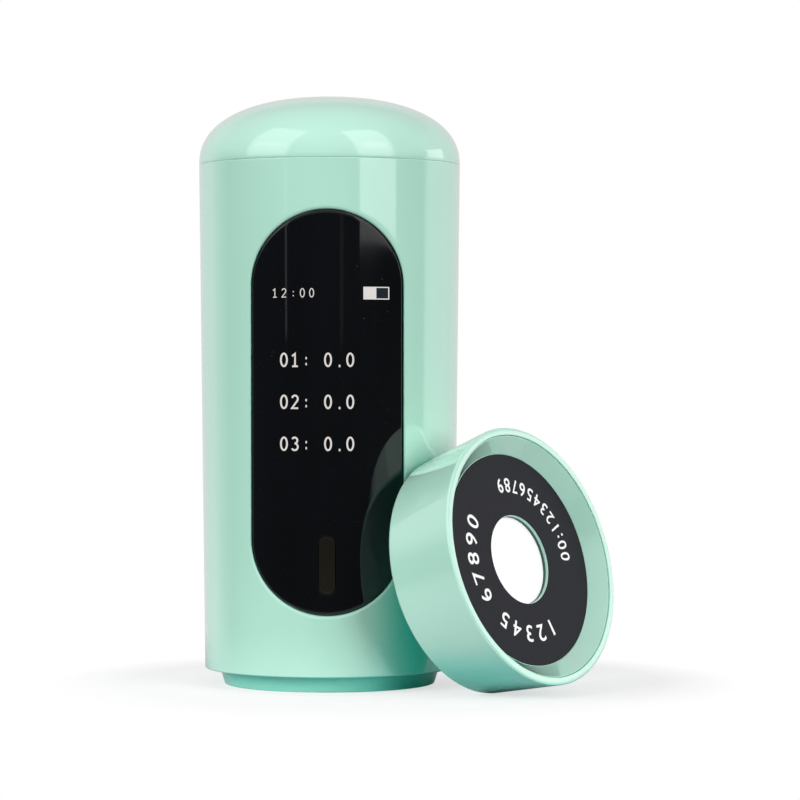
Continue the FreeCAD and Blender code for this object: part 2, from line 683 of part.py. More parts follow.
def chassis_screws():
    """Screws through the chassis's feet and the sensor board into the optics."""
    length = FOOT_T + SENSOR_BOARD_T + SCREW_GRIP
    return Part.makeCompound([upright_screw(x, y, SENSOR_TOP_Z + FOOT_T, length) for x, y in chassis_feet()])


def battery_cell():
    """Plain round cell, upright in the chassis's clips."""
    return cylinder(CELL_R, CELL_LOW_Z, CELL_TOP_Z, 0, CELL_Y)


def battery_leads():
    """Two leads from the cell's top, over the chassis and down to their plug."""
    plug_y = BOARD_BACK_Y + PLUG_T / 2
    top_z = CELL_TOP_Z + LEAD_RISE
    corners = [(CELL_Y, CELL_TOP_Z), (CELL_Y, top_z), (plug_y, top_z), (plug_y, PLUG_LOW_Z + PLUG_HEIGHT)]
    return Part.makeCompound([wire_lead(corners, LEAD_BEND, side * LEAD_SPREAD) for side in SIDES])


def battery_connector():
    """Plug of the leads, on the back of the main board."""
    half = PLUG_WIDTH / 2
    return block(-half, half, BOARD_BACK_Y, BOARD_BACK_Y + PLUG_T, PLUG_LOW_Z, PLUG_LOW_Z + PLUG_HEIGHT)


def sensor_board():
    """Level round board with its front cut straight, behind the key's board."""
    board = cylinder(SENSOR_BOARD_R, OPTICS_TOP_Z, SENSOR_TOP_Z)
    front_y = SWITCH_BOARD_BACK_Y + BOARD_CLEAR
    board = board.cut(block(-FAR, FAR, -FAR, front_y, OPTICS_TOP_Z, SENSOR_TOP_Z))
    holes = [cylinder(SCREW_R + SCREW_FIT, OPTICS_TOP_Z, SENSOR_TOP_Z, x, y) for x, y in chassis_feet()]
    return board.cut(Part.makeCompound(holes))


def colour_sensor():
    """Square sensor under the middle of its board."""
    half = SENSOR_SIDE / 2
    return block(-half, half, -half, half, OPTICS_TOP_Z - SENSOR_T, OPTICS_TOP_Z)


def sensor_ribbon():
    """Ribbon from the sensor board up the back of the main board."""
    board_y = BOARD_BACK_Y + RIBBON_T / 2
    low_z = SENSOR_TOP_Z + RIBBON_T / 2
    corners = [(board_y + SENSOR_RIBBON_RUN, low_z), (board_y, low_z), (board_y, low_z + SENSOR_RIBBON_RISE)]
    return ribbon(corners, RIBBON_BEND, SENSOR_RIBBON_WIDTH, SENSOR_RIBBON_X)


def usb_socket():
    """Metal socket shell that opens through the back wall."""
    outer = level_obround(USB_WIDTH, USB_HEIGHT, USB_Z, USB_BACK_Y, USB_MOUTH_Y)
    inner = level_obround(USB_WIDTH - 2 * USB_SKIN, USB_HEIGHT - 2 * USB_SKIN, USB_Z,
                          USB_MOUTH_Y - USB_DEPTH, USB_MOUTH_Y)
    return outer.cut(inner)


def usb_tongue():
    """Contact tongue in the middle of the socket."""
    start_y = USB_MOUTH_Y - USB_DEPTH
    half = TONGUE_WIDTH / 2
    return block(-half, half, start_y, start_y + TONGUE_LENGTH, USB_Z - TONGUE_T / 2, USB_Z + TONGUE_T / 2)


def optics_screw_places():
    """Three screws round the port, as (x, y) pairs."""
    return on_circle(NOSE_CIRCLE_R, OPTICS_SCREW_COUNT, 90)


def magnet_places():
    """Three magnets round the port, between the screws."""
    return on_circle(NOSE_CIRCLE_R, MAGNET_COUNT, 30)


def optics_housing():
    """Flange on the case's floor, a stepped barrel, a pad for the key's board and two ears for screws."""
    flange = cylinder(OPTICS_FLANGE_R, FLOOR_TOP_Z, FLANGE_TOP_Z)
    pad_half = SWITCH_BOARD_SIDE / 2
    pieces = [cylinder(OPTICS_R, FLANGE_TOP_Z, OPTICS_TOP_Z),
              block(-pad_half, pad_half, SWITCH_BOARD_BACK_Y, 0, KEY_Z - pad_half, OPTICS_TOP_Z)]
    for x, y in chassis_feet():
        pieces.append(cylinder(EAR_R, FLANGE_TOP_Z, OPTICS_TOP_Z, x, y))
        web_y = y - EAR_WEB / 2
        pieces.append(block(min(0, x), max(0, x), web_y, web_y + EAR_WEB, FLANGE_TOP_Z, OPTICS_TOP_Z))
    cuts = [cylinder(OPTICS_BORE_R, FLOOR_TOP_Z, OPTICS_TOP_Z)]
    cuts.append(cylinder(OPTICS_SEAT_R, RING_LOW_Z, OPTICS_TOP_Z))
    hole_r = SCREW_R + SCREW_FIT
    cuts += [cylinder(hole_r, FLOOR_TOP_Z, FLANGE_TOP_Z, x, y) for x, y in optics_screw_places()]
    cuts += [cylinder(SCREW_R, OPTICS_TOP_Z - SCREW_GRIP, OPTICS_TOP_Z, x, y) for x, y in chassis_feet()]
    return flange.multiFuse(pieces).cut(Part.makeCompound(cuts)).removeSplitter()


def optics_screws():
    """Screws that clamp the case's floor between the optics and the nose."""
    length = OPTICS_FLANGE_T + OPTICS_SCREW_GRIP
    return Part.makeCompound([upright_screw(x, y, FLANGE_TOP_Z, length) for x, y in optics_screw_places()])


def led_board():
    """Ring board on the barrel's step."""
    ring = cylinder(OPTICS_SEAT_R - RING_FIT, RING_LOW_Z, RING_TOP_Z)
    return ring.cut(cylinder(BAFFLE_R + RING_FIT, RING_LOW_Z, RING_TOP_Z))


def leds():
    """Ring of lights under the ring board."""
    half = LED_SIDE / 2
    lights = []
    for i in range(LED_COUNT):
        light = block(LED_CIRCLE_R - half, LED_CIRCLE_R + half, -half, half, RING_LOW_Z - LED_T, RING_LOW_Z)
        light.rotate(FreeCAD.Vector(0, 0, 0), UP, 360 * i / LED_COUNT)
        lights.append(light)
    return Part.makeCompound(lights)


def led_pins():
    """Pins that carry current from the sensor board down to the ring board."""
    places = on_circle(PIN_CIRCLE_R, PIN_COUNT, 45)
    return Part.makeCompound([cylinder(PIN_R, RING_TOP_Z, OPTICS_TOP_Z, x, y) for x, y in places])


def light_baffle():
    """Black tube that keeps stray light off the sensor, hung by its flange on the ring board."""
    tube = cylinder(BAFFLE_R, RING_LOW_Z - BAFFLE_BELOW, RING_TOP_Z + BAFFLE_ABOVE)
    flange = cylinder(BAFFLE_FLANGE_R, RING_TOP_Z, RING_TOP_Z + BAFFLE_FLANGE_T)
    bore = cylinder(BAFFLE_BORE_R, RING_LOW_Z - BAFFLE_BELOW, RING_TOP_Z + BAFFLE_ABOVE)
    return tube.fuse(flange).cut(bore).removeSplitter()


def collecting_lens():
    """Small lens in the baffle tube, flat above and domed below."""
    low = RING_LOW_Z
    high = low + COLLECTOR_T
    radius = BAFFLE_BORE_R
    ball_r = (radius ** 2 + COLLECTOR_BULGE ** 2) / (2 * COLLECTOR_BULGE)
    middle_z = low - COLLECTOR_BULGE + ball_r
    half_angle = math.asin(radius / ball_r) / 2
    halfway = FreeCAD.Vector(ball_r * math.sin(half_angle), 0, middle_z - ball_r * math.cos(half_angle))
    tip = FreeCAD.Vector(0, 0, low - COLLECTOR_BULGE)
    half_arc = Part.Arc(tip, halfway, FreeCAD.Vector(radius, 0, low)).toShape()
    return turned([half_arc, line((radius, low), (radius, high)), line((radius, high), (0, high)),
                   line((0, high), (0, low - COLLECTOR_BULGE))])


def nose_ring():
    """Conical nose with a spigot through the case's floor, a bore, and screw and magnet pockets."""
    nose = cone(NOSE_R_END, NOSE_R_TOP, 0, NOSE_LENGTH).fuse(cylinder(SPIGOT_R, NOSE_LENGTH, FLOOR_TOP_Z))
    cuts = [cylinder(NOSE_BORE_R, 0, FLOOR_TOP_Z)]
    grip_z = FLOOR_TOP_Z - OPTICS_SCREW_GRIP
    cuts += [cylinder(SCREW_R, grip_z, FLOOR_TOP_Z, x, y) for x, y in optics_screw_places()]
    cuts += [cylinder(MAGNET_R, MAGNET_SKIN, FLOOR_TOP_Z, x, y) for x, y in magnet_places()]
    return nose.cut(Part.makeCompound(cuts)).removeSplitter()


def nose_magnets():
    """Magnets that hold the cap, in the nose's pockets."""
    return Part.makeCompound([cylinder(MAGNET_R, MAGNET_SKIN, MAGNET_SKIN + MAGNET_T, x, y)
                              for x, y in magnet_places()])


def aperture_insert():
    """Black ring in the nose that sets the port's size and seats its glass."""
    top = PORT_LENGTH + GLASS_T
    ring = cylinder(NOSE_BORE_R, 0, top).cut(cylinder(PORT_R, 0, top))
    return ring.cut(cylinder(GLASS_R, PORT_LENGTH, top))


def port_window():
    """Clear disc over the port."""
    return cylinder(GLASS_R, PORT_LENGTH, PORT_LENGTH + GLASS_T)


def cap_radius(height):
    """Outer radius of the cap at a height above its back."""
    return CAP_R_BACK + height / CAP_LENGTH * (CAP_R_MOUTH - CAP_R_BACK)


def cap_place():
    """Placement that stands the cap on its back edge on the bench, leaning against the case."""
    lean = math.radians(CAP_LEAN)
    flare = math.atan2(CAP_R_MOUTH - CAP_R_BACK, CAP_LENGTH)
    core_r = CAP_R_BACK + CAP_EDGE_R * (math.tan(flare) - 1 / math.cos(flare))
    low_z = core_r * math.cos(lean) + CAP_EDGE_R * (1 - math.sin(lean))
    swing = math.sqrt(1 - (CAP_ACROSS / core_r) ** 2)
    touch_z = low_z + core_r * math.cos(lean)
    stand_off = CAP_GAP + CAP_EDGE_R * (1 - math.cos(lean))
    reach = case_radius(touch_z) + stand_off + core_r * math.sin(lean) * swing
    turn = math.radians(CAP_TURN)
    along = FreeCAD.Vector(math.cos(turn), math.sin(turn), 0)
    across = FreeCAD.Vector(-math.sin(turn), math.cos(turn), 0)
    middle = along * reach + across * CAP_ACROSS + UP * low_z
    mouth = along * math.cos(lean) + UP * math.sin(lean)
    return FreeCAD.Placement(middle, FreeCAD.Rotation(UP, mouth))


def placed_on_cap(shape):
    """Shape moved from the cap's own axis to where the cap stands."""
    placed = shape.copy()
    placed.Placement = cap_place().multiply(shape.Placement)
    return placed


def cap_shell():
    """Cup with a rounded back edge and a thin wall up to its lip."""
    cup = cone(CAP_R_BACK, CAP_R_MOUTH, 0, CAP_LENGTH)
    back_edge = [edge for edge in cup.Edges if level_ring_at(0, CAP_R_BACK)(edge)]
    cup = cup.makeFillet(CAP_EDGE_R, back_edge)
    mouth_edge = [edge for edge in cup.Edges if level_ring_at(CAP_LENGTH, CAP_R_MOUTH)(edge)]
    cup = cup.makeFillet(CAP_LIP_R, mouth_edge)
    inner = cone(cap_radius(CAP_BACK_T) - CAP_WALL, CAP_R_MOUTH - CAP_WALL, CAP_BACK_T, CAP_LENGTH)
    post = cylinder(TILE_POST_R, CAP_BACK_T, tile_back() - TILE_PAD_T)
    return cup.cut(inner).fuse(post).removeSplitter()


def dish_floor():
    """Height of the dish's floor above the cap's back, so that the fitted nose meets the label."""
    return CAP_LENGTH - NOSE_LENGTH - LABEL_T


def tile_front():
    """Height of the tile's face above the cap's back."""
    return dish_floor() - TILE_DEPTH


def tile_back():
    """Height of the tile's back above the cap's back."""
    return tile_front() - TILE_T


def cap_insert():
    """Conical dish with a tile hole, a collar for the tile, magnet sockets and a skirt to the cup's back."""
    mouth_r = CAP_R_MOUTH - CAP_WALL - CAP_INSERT_FIT
    foot_r = cap_radius(CAP_BACK_T) - CAP_WALL - CAP_INSERT_FIT
    body = cone(foot_r, mouth_r, CAP_BACK_T, CAP_LENGTH)
    hollow_top = dish_floor() - CAP_DISH_FLOOR
    hollow_r = cap_radius(hollow_top) - CAP_WALL - CAP_SKIRT_T
    body = body.cut(cone(foot_r - CAP_SKIRT_T, hollow_r, CAP_BACK_T, hollow_top))
    collar_r = TILE_R + TILE_FIT + TILE_COLLAR_T
    pieces = [cylinder(collar_r, tile_back(), hollow_top)]
    socket_low = dish_floor() - MAGNET_SKIN - MAGNET_T
    pieces += [cylinder(MAGNET_R + MAGNET_SKIN, socket_low, hollow_top, x, y) for x, y in magnet_places()]
    body = body.multiFuse(pieces)
    cuts = [cone(CAP_DISH_R, mouth_r, dish_floor(), CAP_LENGTH)]
    cuts.append(cylinder(TILE_HOLE_R, tile_front(), dish_floor()))
    cuts.append(cylinder(TILE_R + TILE_FIT, tile_back(), tile_front()))
    cuts += [cylinder(MAGNET_R, socket_low, socket_low + MAGNET_T, x, y) for x, y in magnet_places()]
    return body.cut(Part.makeCompound(cuts)).removeSplitter()


def cap_label():
    """Thin black ring plate on the dish's floor."""
    plate = cylinder(CAP_DISH_R - LABEL_EDGE, dish_floor(), dish_floor() + LABEL_T)
    return plate.cut(cylinder(TILE_HOLE_R + LABEL_EDGE, dish_floor(), dish_floor() + LABEL_T))


def cap_magnets():
    """Magnets under the dish's floor, opposite those in the nose."""
    low = dish_floor() - MAGNET_SKIN - MAGNET_T
    return Part.makeCompound([cylinder(MAGNET_R, low, low + MAGNET_T, x, y) for x, y in magnet_places()])


def white_tile():
    """White reference tile behind the dish's hole."""
    return cylinder(TILE_R, tile_back(), tile_front())


def tile_pad():
    """Springy pad that presses the tile forward."""
    return cylinder(TILE_POST_R, tile_back() - TILE_PAD_T, tile_back())


CASE_PIECES = (
    body_shell, top_cover, window_lens, lens_gasket, measure_key, key_switch, switch_plunger,
    key_board, display_panel, display_frame, display_ribbon, main_board, main_board_chips, board_screws,
    chassis, chassis_screws, battery_cell, battery_leads, battery_connector, sensor_board,
    colour_sensor, sensor_ribbon, usb_socket, usb_tongue, optics_housing, optics_screws, led_board,
    leds, led_pins, light_baffle, collecting_lens, nose_ring, nose_magnets, aperture_insert, port_window,
)
CAP_PIECES = (cap_shell, cap_insert, cap_label, cap_magnets, white_tile, tile_pad)


def main():
    """Write each piece to its own file, named after it."""
    os.makedirs("parts", exist_ok=True)
    for piece in CASE_PIECES:
        piece().exportStep("parts/" + piece.__name__ + ".step")
    for piece in CAP_PIECES:
        placed_on_cap(piece()).exportStep("parts/" + piece.__name__ + ".step")


main()
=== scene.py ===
"""Dressed model of a pocket colour meter that stands on its nose, with its calibration cap leaning on it.

Metres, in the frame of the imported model: +Z up the case's axis, -Y out of the window, +X to the cap's side.
"""

import json
import math

import bmesh
import bpy
from bpy.props import FloatProperty, FloatVectorProperty, IntProperty, PointerProperty, StringProperty
from bpy.types import Operator, Panel, PropertyGroup
from mathutils import Matrix, Vector


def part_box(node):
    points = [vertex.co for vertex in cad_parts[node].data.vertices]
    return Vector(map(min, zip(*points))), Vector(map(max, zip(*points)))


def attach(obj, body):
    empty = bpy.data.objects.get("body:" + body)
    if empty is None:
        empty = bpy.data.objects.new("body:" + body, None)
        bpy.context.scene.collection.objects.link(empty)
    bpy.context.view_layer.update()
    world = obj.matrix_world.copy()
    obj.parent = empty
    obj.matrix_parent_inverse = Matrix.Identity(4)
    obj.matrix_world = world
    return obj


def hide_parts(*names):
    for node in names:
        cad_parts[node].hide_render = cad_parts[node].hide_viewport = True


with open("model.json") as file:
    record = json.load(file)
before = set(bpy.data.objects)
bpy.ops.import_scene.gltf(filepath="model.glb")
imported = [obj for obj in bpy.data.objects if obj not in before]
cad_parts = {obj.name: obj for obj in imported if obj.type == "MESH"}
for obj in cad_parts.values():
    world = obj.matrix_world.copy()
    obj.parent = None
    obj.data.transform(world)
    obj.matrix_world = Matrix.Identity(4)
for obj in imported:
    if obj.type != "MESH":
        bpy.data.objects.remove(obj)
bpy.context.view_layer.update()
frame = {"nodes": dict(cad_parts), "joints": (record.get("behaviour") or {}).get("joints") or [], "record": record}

bl_info = {
    "name": "Pocket Colour Meter",
    "version": (1, 0, 0),
    "blender": (4, 5, 0),
    "location": "3D View > Sidebar > Meter",
    "description": "Builds the case, window, screen, key and calibration cap of a pocket colour meter",
    "category": "Add Mesh",
}

MM = 0.001
WELD = 0.5e-6
SHORTEST_EDGE = 0.1e-6
SHARP_DEGREES = 35.0
FINISH = "meter_"

SHELL_LOW, SHELL_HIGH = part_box("body_shell")
COVER_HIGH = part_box("top_cover")[1]
LENS_LOW, LENS_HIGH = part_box("window_lens")
KEY_LOW, KEY_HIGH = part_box("measure_key")
NOSE_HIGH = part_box("nose_ring")[1]
SOCKET_LOW, SOCKET_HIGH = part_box("usb_socket")
TONGUE_LOW, TONGUE_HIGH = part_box("usb_tongue")
TILE_LOW, TILE_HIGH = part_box("white_tile")
CAP_AXIS = Vector(next(j["axis"] for j in frame["joints"] if j["name"] == "cap_pull")).normalized()

SEAM_Z = SHELL_HIGH.z
FOOT_Z = SHELL_LOW.z
SEAM_RADIUS = 16.5 * MM
WINDOW_Z = (LENS_LOW.z + LENS_HIGH.z) / 2
KEY_Z = (KEY_LOW.z + KEY_HIGH.z) / 2
SOCKET_Z = (SOCKET_LOW.z + SOCKET_HIGH.z) / 2

FRONT = 0.0
REAR = math.pi
WHITE = (1, 1, 1, 1)


# Settings

def measure(label, what, millimetres):
    """Setting of a length, given in millimetres."""
    return FloatProperty(name=label, description=what, default=millimetres * MM, unit="LENGTH", precision=5)


def amount(label, what, default, **limits):
    """Setting of a plain number."""
    return FloatProperty(name=label, description=what, default=default, **limits)


def tally(label, what, default, low=1):
    """Setting of a whole number."""
    return IntProperty(name=label, description=what, default=default, min=low)


def shade(label, what, default):
    """Setting of a colour."""
    return FloatVectorProperty(name=label, description=what, subtype="COLOR", size=3, default=default,
                               min=0, max=1)


def wording(label, what, default):
    """Setting of plain characters."""
    return StringProperty(name=label, description=what, default=default)


class MeterCase(PropertyGroup):
    """Sizes of the tube, its nose and its cover."""
    taper: measure("Taper", "How much narrower the tube is at its foot", 0.74)
    wall: measure("Wall", "Thickness of the tube's wall", 2.0)
    floor: measure("Floor", "Thickness of the tube's floor", 1.6)
    edge: measure("Edge", "Rounding of the tube's lower edge", 0.2)
    seam: measure("Seam", "Rounding each side of the seam", 0.09)
    columns: tally("Columns", "Faces round the tube", 144, 48)
    rows: tally("Rows", "Faces up the tube", 132, 48)
    dome_power: amount("Dome power", "Power of the dome's superellipse", 2.3)
    dome_steps: tally("Dome steps", "Faces from the seam to the top", 56, 8)
    dome_wall: measure("Dome wall", "Thickness of the cover", 1.8)
    skirt: measure("Skirt", "Depth of the cover's skirt", 3.0)
    bore: measure("Bore", "How far the floor's hole lies inside the tube's skin", 3.3)
    nose_taper: measure("Nose taper", "How much narrower the nose is at its end", 0.65)
    nose_bore: measure("Nose bore", "Radius of the bore in the nose", 5.6)


class MeterWindow(PropertyGroup):
    """Sizes of the window lens, the key and the charging socket."""
    thickness: measure("Lens", "Thickness of the lens", 1.2)
    gap: measure("Gap", "Gap round the lens", 0.1)
    ledge: measure("Ledge", "Width of the ledge behind the lens", 1.0)
    edge: measure("Edge", "Rounding of the lens's edge", 0.1)
    opening_edge: measure("Opening edge", "Rounding of the tube's edge round the lens and the socket", 0.45)
    key_half_width: measure("Key half width", "Half the key's width", 1.0)
    key_height: measure("Key height", "Height of the key", 7.0)
    key_recess: measure("Key recess", "How far the key lies under the lens's face", 0.05)
    key_flange: measure("Key flange", "Width and thickness of the key's flange", 0.8)
    key_post: measure("Key post", "Radius of the post behind the key", 1.1)
    socket_gap: measure("Socket gap", "Gap round the socket", 0.2)
    socket_skin: measure("Socket skin", "Thickness of the socket's shell", 0.3)
    socket_depth: measure("Socket depth", "Depth of the socket", 6.2)
    contacts: tally("Contacts", "Contacts on each face of the socket's tongue", 12)


class MeterScreen(PropertyGroup):
    """Sizes and words of the lit screen."""
    digit_height: measure("Digit height", "Height of the readings' digits", 1.74)
    advance: measure("Advance", "Width that each character takes", 1.35)
    stroke: amount("Stroke", "Width of a stroke, as a share of the digit height", 0.125)
    row_pitch: measure("Row pitch", "Distance between the rows", 5.12)
    rows: wording("Rows", "The readings, from the top, parted by bars", "01: 0.0|02: 0.0|03: 0.0")
    clock: wording("Clock", "Small characters at the top left", "12:00")
    clock_scale: amount("Clock scale", "Height of the small characters, as a share", 0.66)
    glow: amount("Glow", "Strength of the lit characters", 0.78)
    colour: shade("Lit colour", "Colour of the lit characters", (0.95, 0.90, 0.86))


class MeterCap(PropertyGroup):
    """Sizes of the calibration cap, along its own axis from its back."""
    mouth_radius: measure("Mouth radius", "Outer radius at the lip", 16.12)
    taper: measure("Taper", "How much narrower the back is", 1.26)
    length: measure("Length", "From the back to the lip", 10.55)
    wall: measure("Wall", "Thickness of the cup's wall", 0.95)
    back: measure("Back", "Thickness of the cup's back", 1.4)
    back_edge: measure("Back edge", "Rounding of the back edge", 0.6)
    lip_edge: measure("Lip edge", "Rounding of the lip", 0.25)
    joint_edge: measure("Joint edge", "Rounding each side of the joint in the lip", 0.07)
    dish_radius: measure("Dish radius", "Radius of the dish's floor", 13.3)
    dish_depth: measure("Dish depth", "Depth of the dish under the lip", 2.12)
    label: measure("Label", "Thickness of the ring plate", 0.12)
    tile_hole: measure("Tile hole", "Radius of the hole over the tile", 5.5)
    tile_radius: measure("Tile radius", "Radius of the tile", 6.0)
    tile_depth: measure("Tile depth", "How far the tile lies under the dish's floor", 0.75)
    # Painted shadow: the dark ring that this sets above the tile stands for the shade in the gap round the tile
    shadow_ring: measure("Seal", "Height of the dark lining over the tile", 0.38)
    tile: measure("Tile", "Thickness of the tile", 2.0)
    columns: tally("Columns", "Faces round the cap", 160, 32)
    upper_numbers: wording("Upper numbers", "Plain numbers on the upper arc", "00:123456789")
    lower_numbers: wording("Lower numbers", "Plain numbers on the lower arc", "12345 67890")
    upper_height: measure("Upper height", "Type size on the upper arc", 2.5)
    lower_height: measure("Lower height", "Type size on the lower arc", 2.9)
    weight: measure("Weight", "How much bolder the numbers are made, at each side", 0.035)


class MeterFinish(PropertyGroup):
    """Colours of the outer pieces."""
    mint: shade("Mint", "Colour of the case and cap", (0.405, 0.69, 0.568))
    # Painted shade: the deep teal that the mint turns to where the case, the cap and the floor hem it in
    painted_shade_mint: shade("Deep mint", "Colour of the mint in narrow, shaded places", (0.0, 0.58, 0.45))
    window: shade("Window", "Colour of the window lens", (0.002, 0.0025, 0.0035))
    key: shade("Key", "Colour of the key", (0.0085, 0.007, 0.0045))
    label: shade("Label", "Colour of the cap's ring plate", (0.018, 0.018, 0.022))


class MeterStage(PropertyGroup):
    """Camera, floor and lamps."""
    floor: shade("Floor", "Colour of the floor", (0.95, 0.95, 0.95))
    paleness: amount("Paleness", "Share of plain white in the floor near the object", 0.65, min=0, max=1)
    bounce: shade("Bounce", "Colour of the light that the floor throws back", (0.60, 0.64, 0.66))
    right_lamp: amount("Right lamp", "Radiance of the right soft box", 0.7)
    left_lamp: amount("Left lamp", "Radiance of the left soft box", 0.5)
    fill: amount("Fill", "Radiance of the fills, before each one's own share", 7.7)
    lens: amount("Lens", "Focal length of the camera, in millimetres", 144.16)


class MeterSettings(PropertyGroup):
    """Every setting of the meter."""
    case: PointerProperty(type=MeterCase)
    window: PointerProperty(type=MeterWindow)
    screen: PointerProperty(type=MeterScreen)
    cap: PointerProperty(type=MeterCap)
    finish: PointerProperty(type=MeterFinish)
    stage: PointerProperty(type=MeterStage)


def settings():
    """The meter's settings in the open scene."""
    return bpy.context.scene.meter


# Points, loops and pieces

class Surface:
    """Points and faces of a piece, gathered loop by loop."""

    def __init__(self):
        self.points = []
        self.faces = []

    def loop(self, points):
        """Add points and return their numbers."""
        first = len(self.points)
        self.points.extend(points)
        return list(range(first, len(self.points)))

    def bands(self, loops):
        """Fill between each closed loop and the next one, which has as many points."""
        for one, other in zip(loops, loops[1:]):
            for i in range(len(one)):
                self.faces.append((one[i - 1], one[i], other[i], other[i - 1]))

    def closed(self, loops):
        """Fill between the loops, and close both ends with a fan round a middle point."""
        self.bands(loops)
        for ring in (loops[0], loops[-1]):
            middle = sum((Vector(self.points[i]) for i in ring), Vector()) / len(ring)
            centre = self.loop([middle])[0]
            for i in range(len(ring)):
                self.faces.append((ring[i - 1], ring[i], centre))

    def grid(self, rows, holes=(), wrap=False):
        """Fill a grid of rows but for its holes, given as (low column, high column, low row, high row)."""
        count = len(rows[0])
        for j in range(len(rows) - 1):
            for i in range(count if wrap else count - 1):
                if any(in_hole(i, j, hole, count) for hole in holes):
                    continue
                after = (i + 1) % count
                self.faces.append((rows[j][i], rows[j][after], rows[j + 1][after], rows[j + 1][i]))

    def mesh(self, name):
        """New mesh of these points and faces."""
        made = bpy.data.meshes.new(name)
        made.from_pydata([tuple(p) for p in self.points], [], self.faces)
        return made


def in_hole(i, j, hole, count):
    """Whether a grid's face lies in a hole, whose columns may run past the grid's start."""
    low_i, high_i, low_j, high_j = hole
    return (i - low_i) % count < high_i - low_i and low_j <= j < high_j


def border(rows, hole):
    """Numbers round a hole of a grid: along its low row, up, back along its high row and down."""
    low_i, high_i, low_j, high_j = hole
    count = len(rows[0])
    low = [rows[low_j][i % count] for i in range(low_i, high_i)]
    right = [rows[j][high_i % count] for j in range(low_j, high_j)]
    high = [rows[high_j][i % count] for i in range(high_i, low_i, -1)]
    left = [rows[j][low_i % count] for j in range(high_j, low_j, -1)]
    return low + right + high + left


def slot_point(radius, run, rise, way):
    """Point of a round-ended slot, a way along it from the middle of its lower side."""
    lap = 2 * math.pi * radius + 4 * (run + rise)
    way %= lap
    if way > lap / 2:
        x, z = slot_point(radius, run, rise, lap - way)
        return -x, z
    bend = math.pi * radius / 2
    if way <= run:
        return way, -rise - radius
    way -= run
    if way <= bend:
        return run + radius * math.sin(way / radius), -rise - radius * math.cos(way / radius)
    way -= bend
    if way <= 2 * rise:
        return run + radius, way - rise
    way -= 2 * rise
    if way <= bend:
        return run + radius * math.cos(way / radius), rise + radius * math.sin(way / radius)
    return run + bend - way, rise + radius


def slot_loop(slot, grow, across, up):
    """Points round a slot, grown all round: across its lower side, up, back and down, as (x, z) pairs."""
    radius, run, rise = slot
    radius += grow
    lap = 2 * math.pi * radius + 4 * (run + rise)
    corner = run + radius * math.pi / 4
    side = lap / 2 - 2 * corner
    ways = [-corner + 2 * corner * i / across for i in range(across)]
    ways += [corner + side * i / up for i in range(up)]
    ways += [lap / 2 + way for way in ways]
    return [slot_point(radius, run, rise, way) for way in ways]


def quarter(steps):
    """Shares across and down of a quarter round, from its start to its end."""
    turns = [math.pi / 2 * i / steps for i in range(steps + 1)]
    return [(1 - math.sin(a), 1 - math.cos(a)) for a in turns]


def rounded(corners, steps=5):
    """Closed outline whose corners, given as (radius, height, rounding), are cut to arcs."""
    outline = []
    count = len(corners)
    for i, (x, y, size) in enumerate(corners):
        if size == 0:
            outline.append((x, y))
            continue
        here = Vector((x, y))
        before = (Vector(corners[i - 1][:2]) - here).normalized()
        after = (Vector(corners[(i + 1) % count][:2]) - here).normalized()
        half = before.angle(after) / 2
        middle = here + (before + after).normalized() * size / math.sin(half)
        start = here + before * size / math.tan(half) - middle
        sweep = start.angle_signed(here + after * size / math.tan(half) - middle)
        for k in range(steps + 1):
            turn = Matrix.Rotation(-sweep * k / steps, 2)
            outline.append(tuple(middle + turn @ start))
    return outline


def case_radius(case, z):
    """Outer radius of the tube at a height."""
    return SEAM_RADIUS - case.taper * (SEAM_Z - z) / (SEAM_Z - FOOT_Z)


def on_case(case, turn, z, inset):
    """Point at a turn from the front, at a height, a depth under the tube's skin."""
    radius = case_radius(case, z) - inset
    return Vector((radius * math.sin(turn), -radius * math.cos(turn), z))


def turn_at(case, centre, x, z, inset):
    """Turn at which a point lies a distance x beside the middle of the front or the rear."""
    return centre + math.asin(x / (case_radius(case, z) - inset))


def at_front(case, x, z, inset):
    """Point a distance x beside the middle of the front, a depth under the tube's skin."""
    return on_case(case, turn_at(case, FRONT, x, z, inset), z, inset)


def wrapped(turn):
    """Turn brought between minus and plus half a lap."""
    return (turn + math.pi) % (2 * math.pi) - math.pi


def window_slot():
    """Radius, run and rise of the lens's outline."""
    radius = LENS_HIGH.x
    return radius, 0.0, (LENS_HIGH.z - LENS_LOW.z) / 2 - radius


def key_slot(window):
    """Radius, run and rise of the key's outline."""
    return window.key_half_width, 0.0, window.key_height / 2 - window.key_half_width


def socket_slot():
    """Radius, run and rise of the socket's outline."""
    radius = (SOCKET_HIGH.z - SOCKET_LOW.z) / 2
    return radius, SOCKET_HIGH.x - radius, 0.0


def plain_object(name, mesh):
    """Object with a mesh, linked to the scene."""
    piece = bpy.data.objects.new(name, mesh)
    bpy.context.scene.collection.objects.link(piece)
    return piece


def finished(name, mesh):
    """Object from a mesh, merged, with its faces outward and its sharp edges marked."""
    work = bmesh.new()
    work.from_mesh(mesh)
    bmesh.ops.remove_doubles(work, verts=work.verts, dist=WELD)
    bmesh.ops.dissolve_degenerate(work, edges=work.edges, dist=SHORTEST_EDGE)
    bmesh.ops.recalc_face_normals(work, faces=work.faces)
    work.to_mesh(mesh)
    work.free()
    mesh.shade_smooth()
    mesh.set_sharp_from_angle(angle=math.radians(SHARP_DEGREES))
    piece = plain_object(name, mesh)
    even = piece.modifiers.new("even_normals", "WEIGHTED_NORMAL")
    even.keep_sharp = True
    even.weight = 100
    return piece


def dress(piece, material, body, slot, *nodes):
    """Give a piece its material and its body, and hide the nodes that it stands for. The slot is not used."""
    piece.data.materials.clear()
    piece.data.materials.append(material)
    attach(piece, body)
    if nodes:
        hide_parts(*nodes)


# Node trees

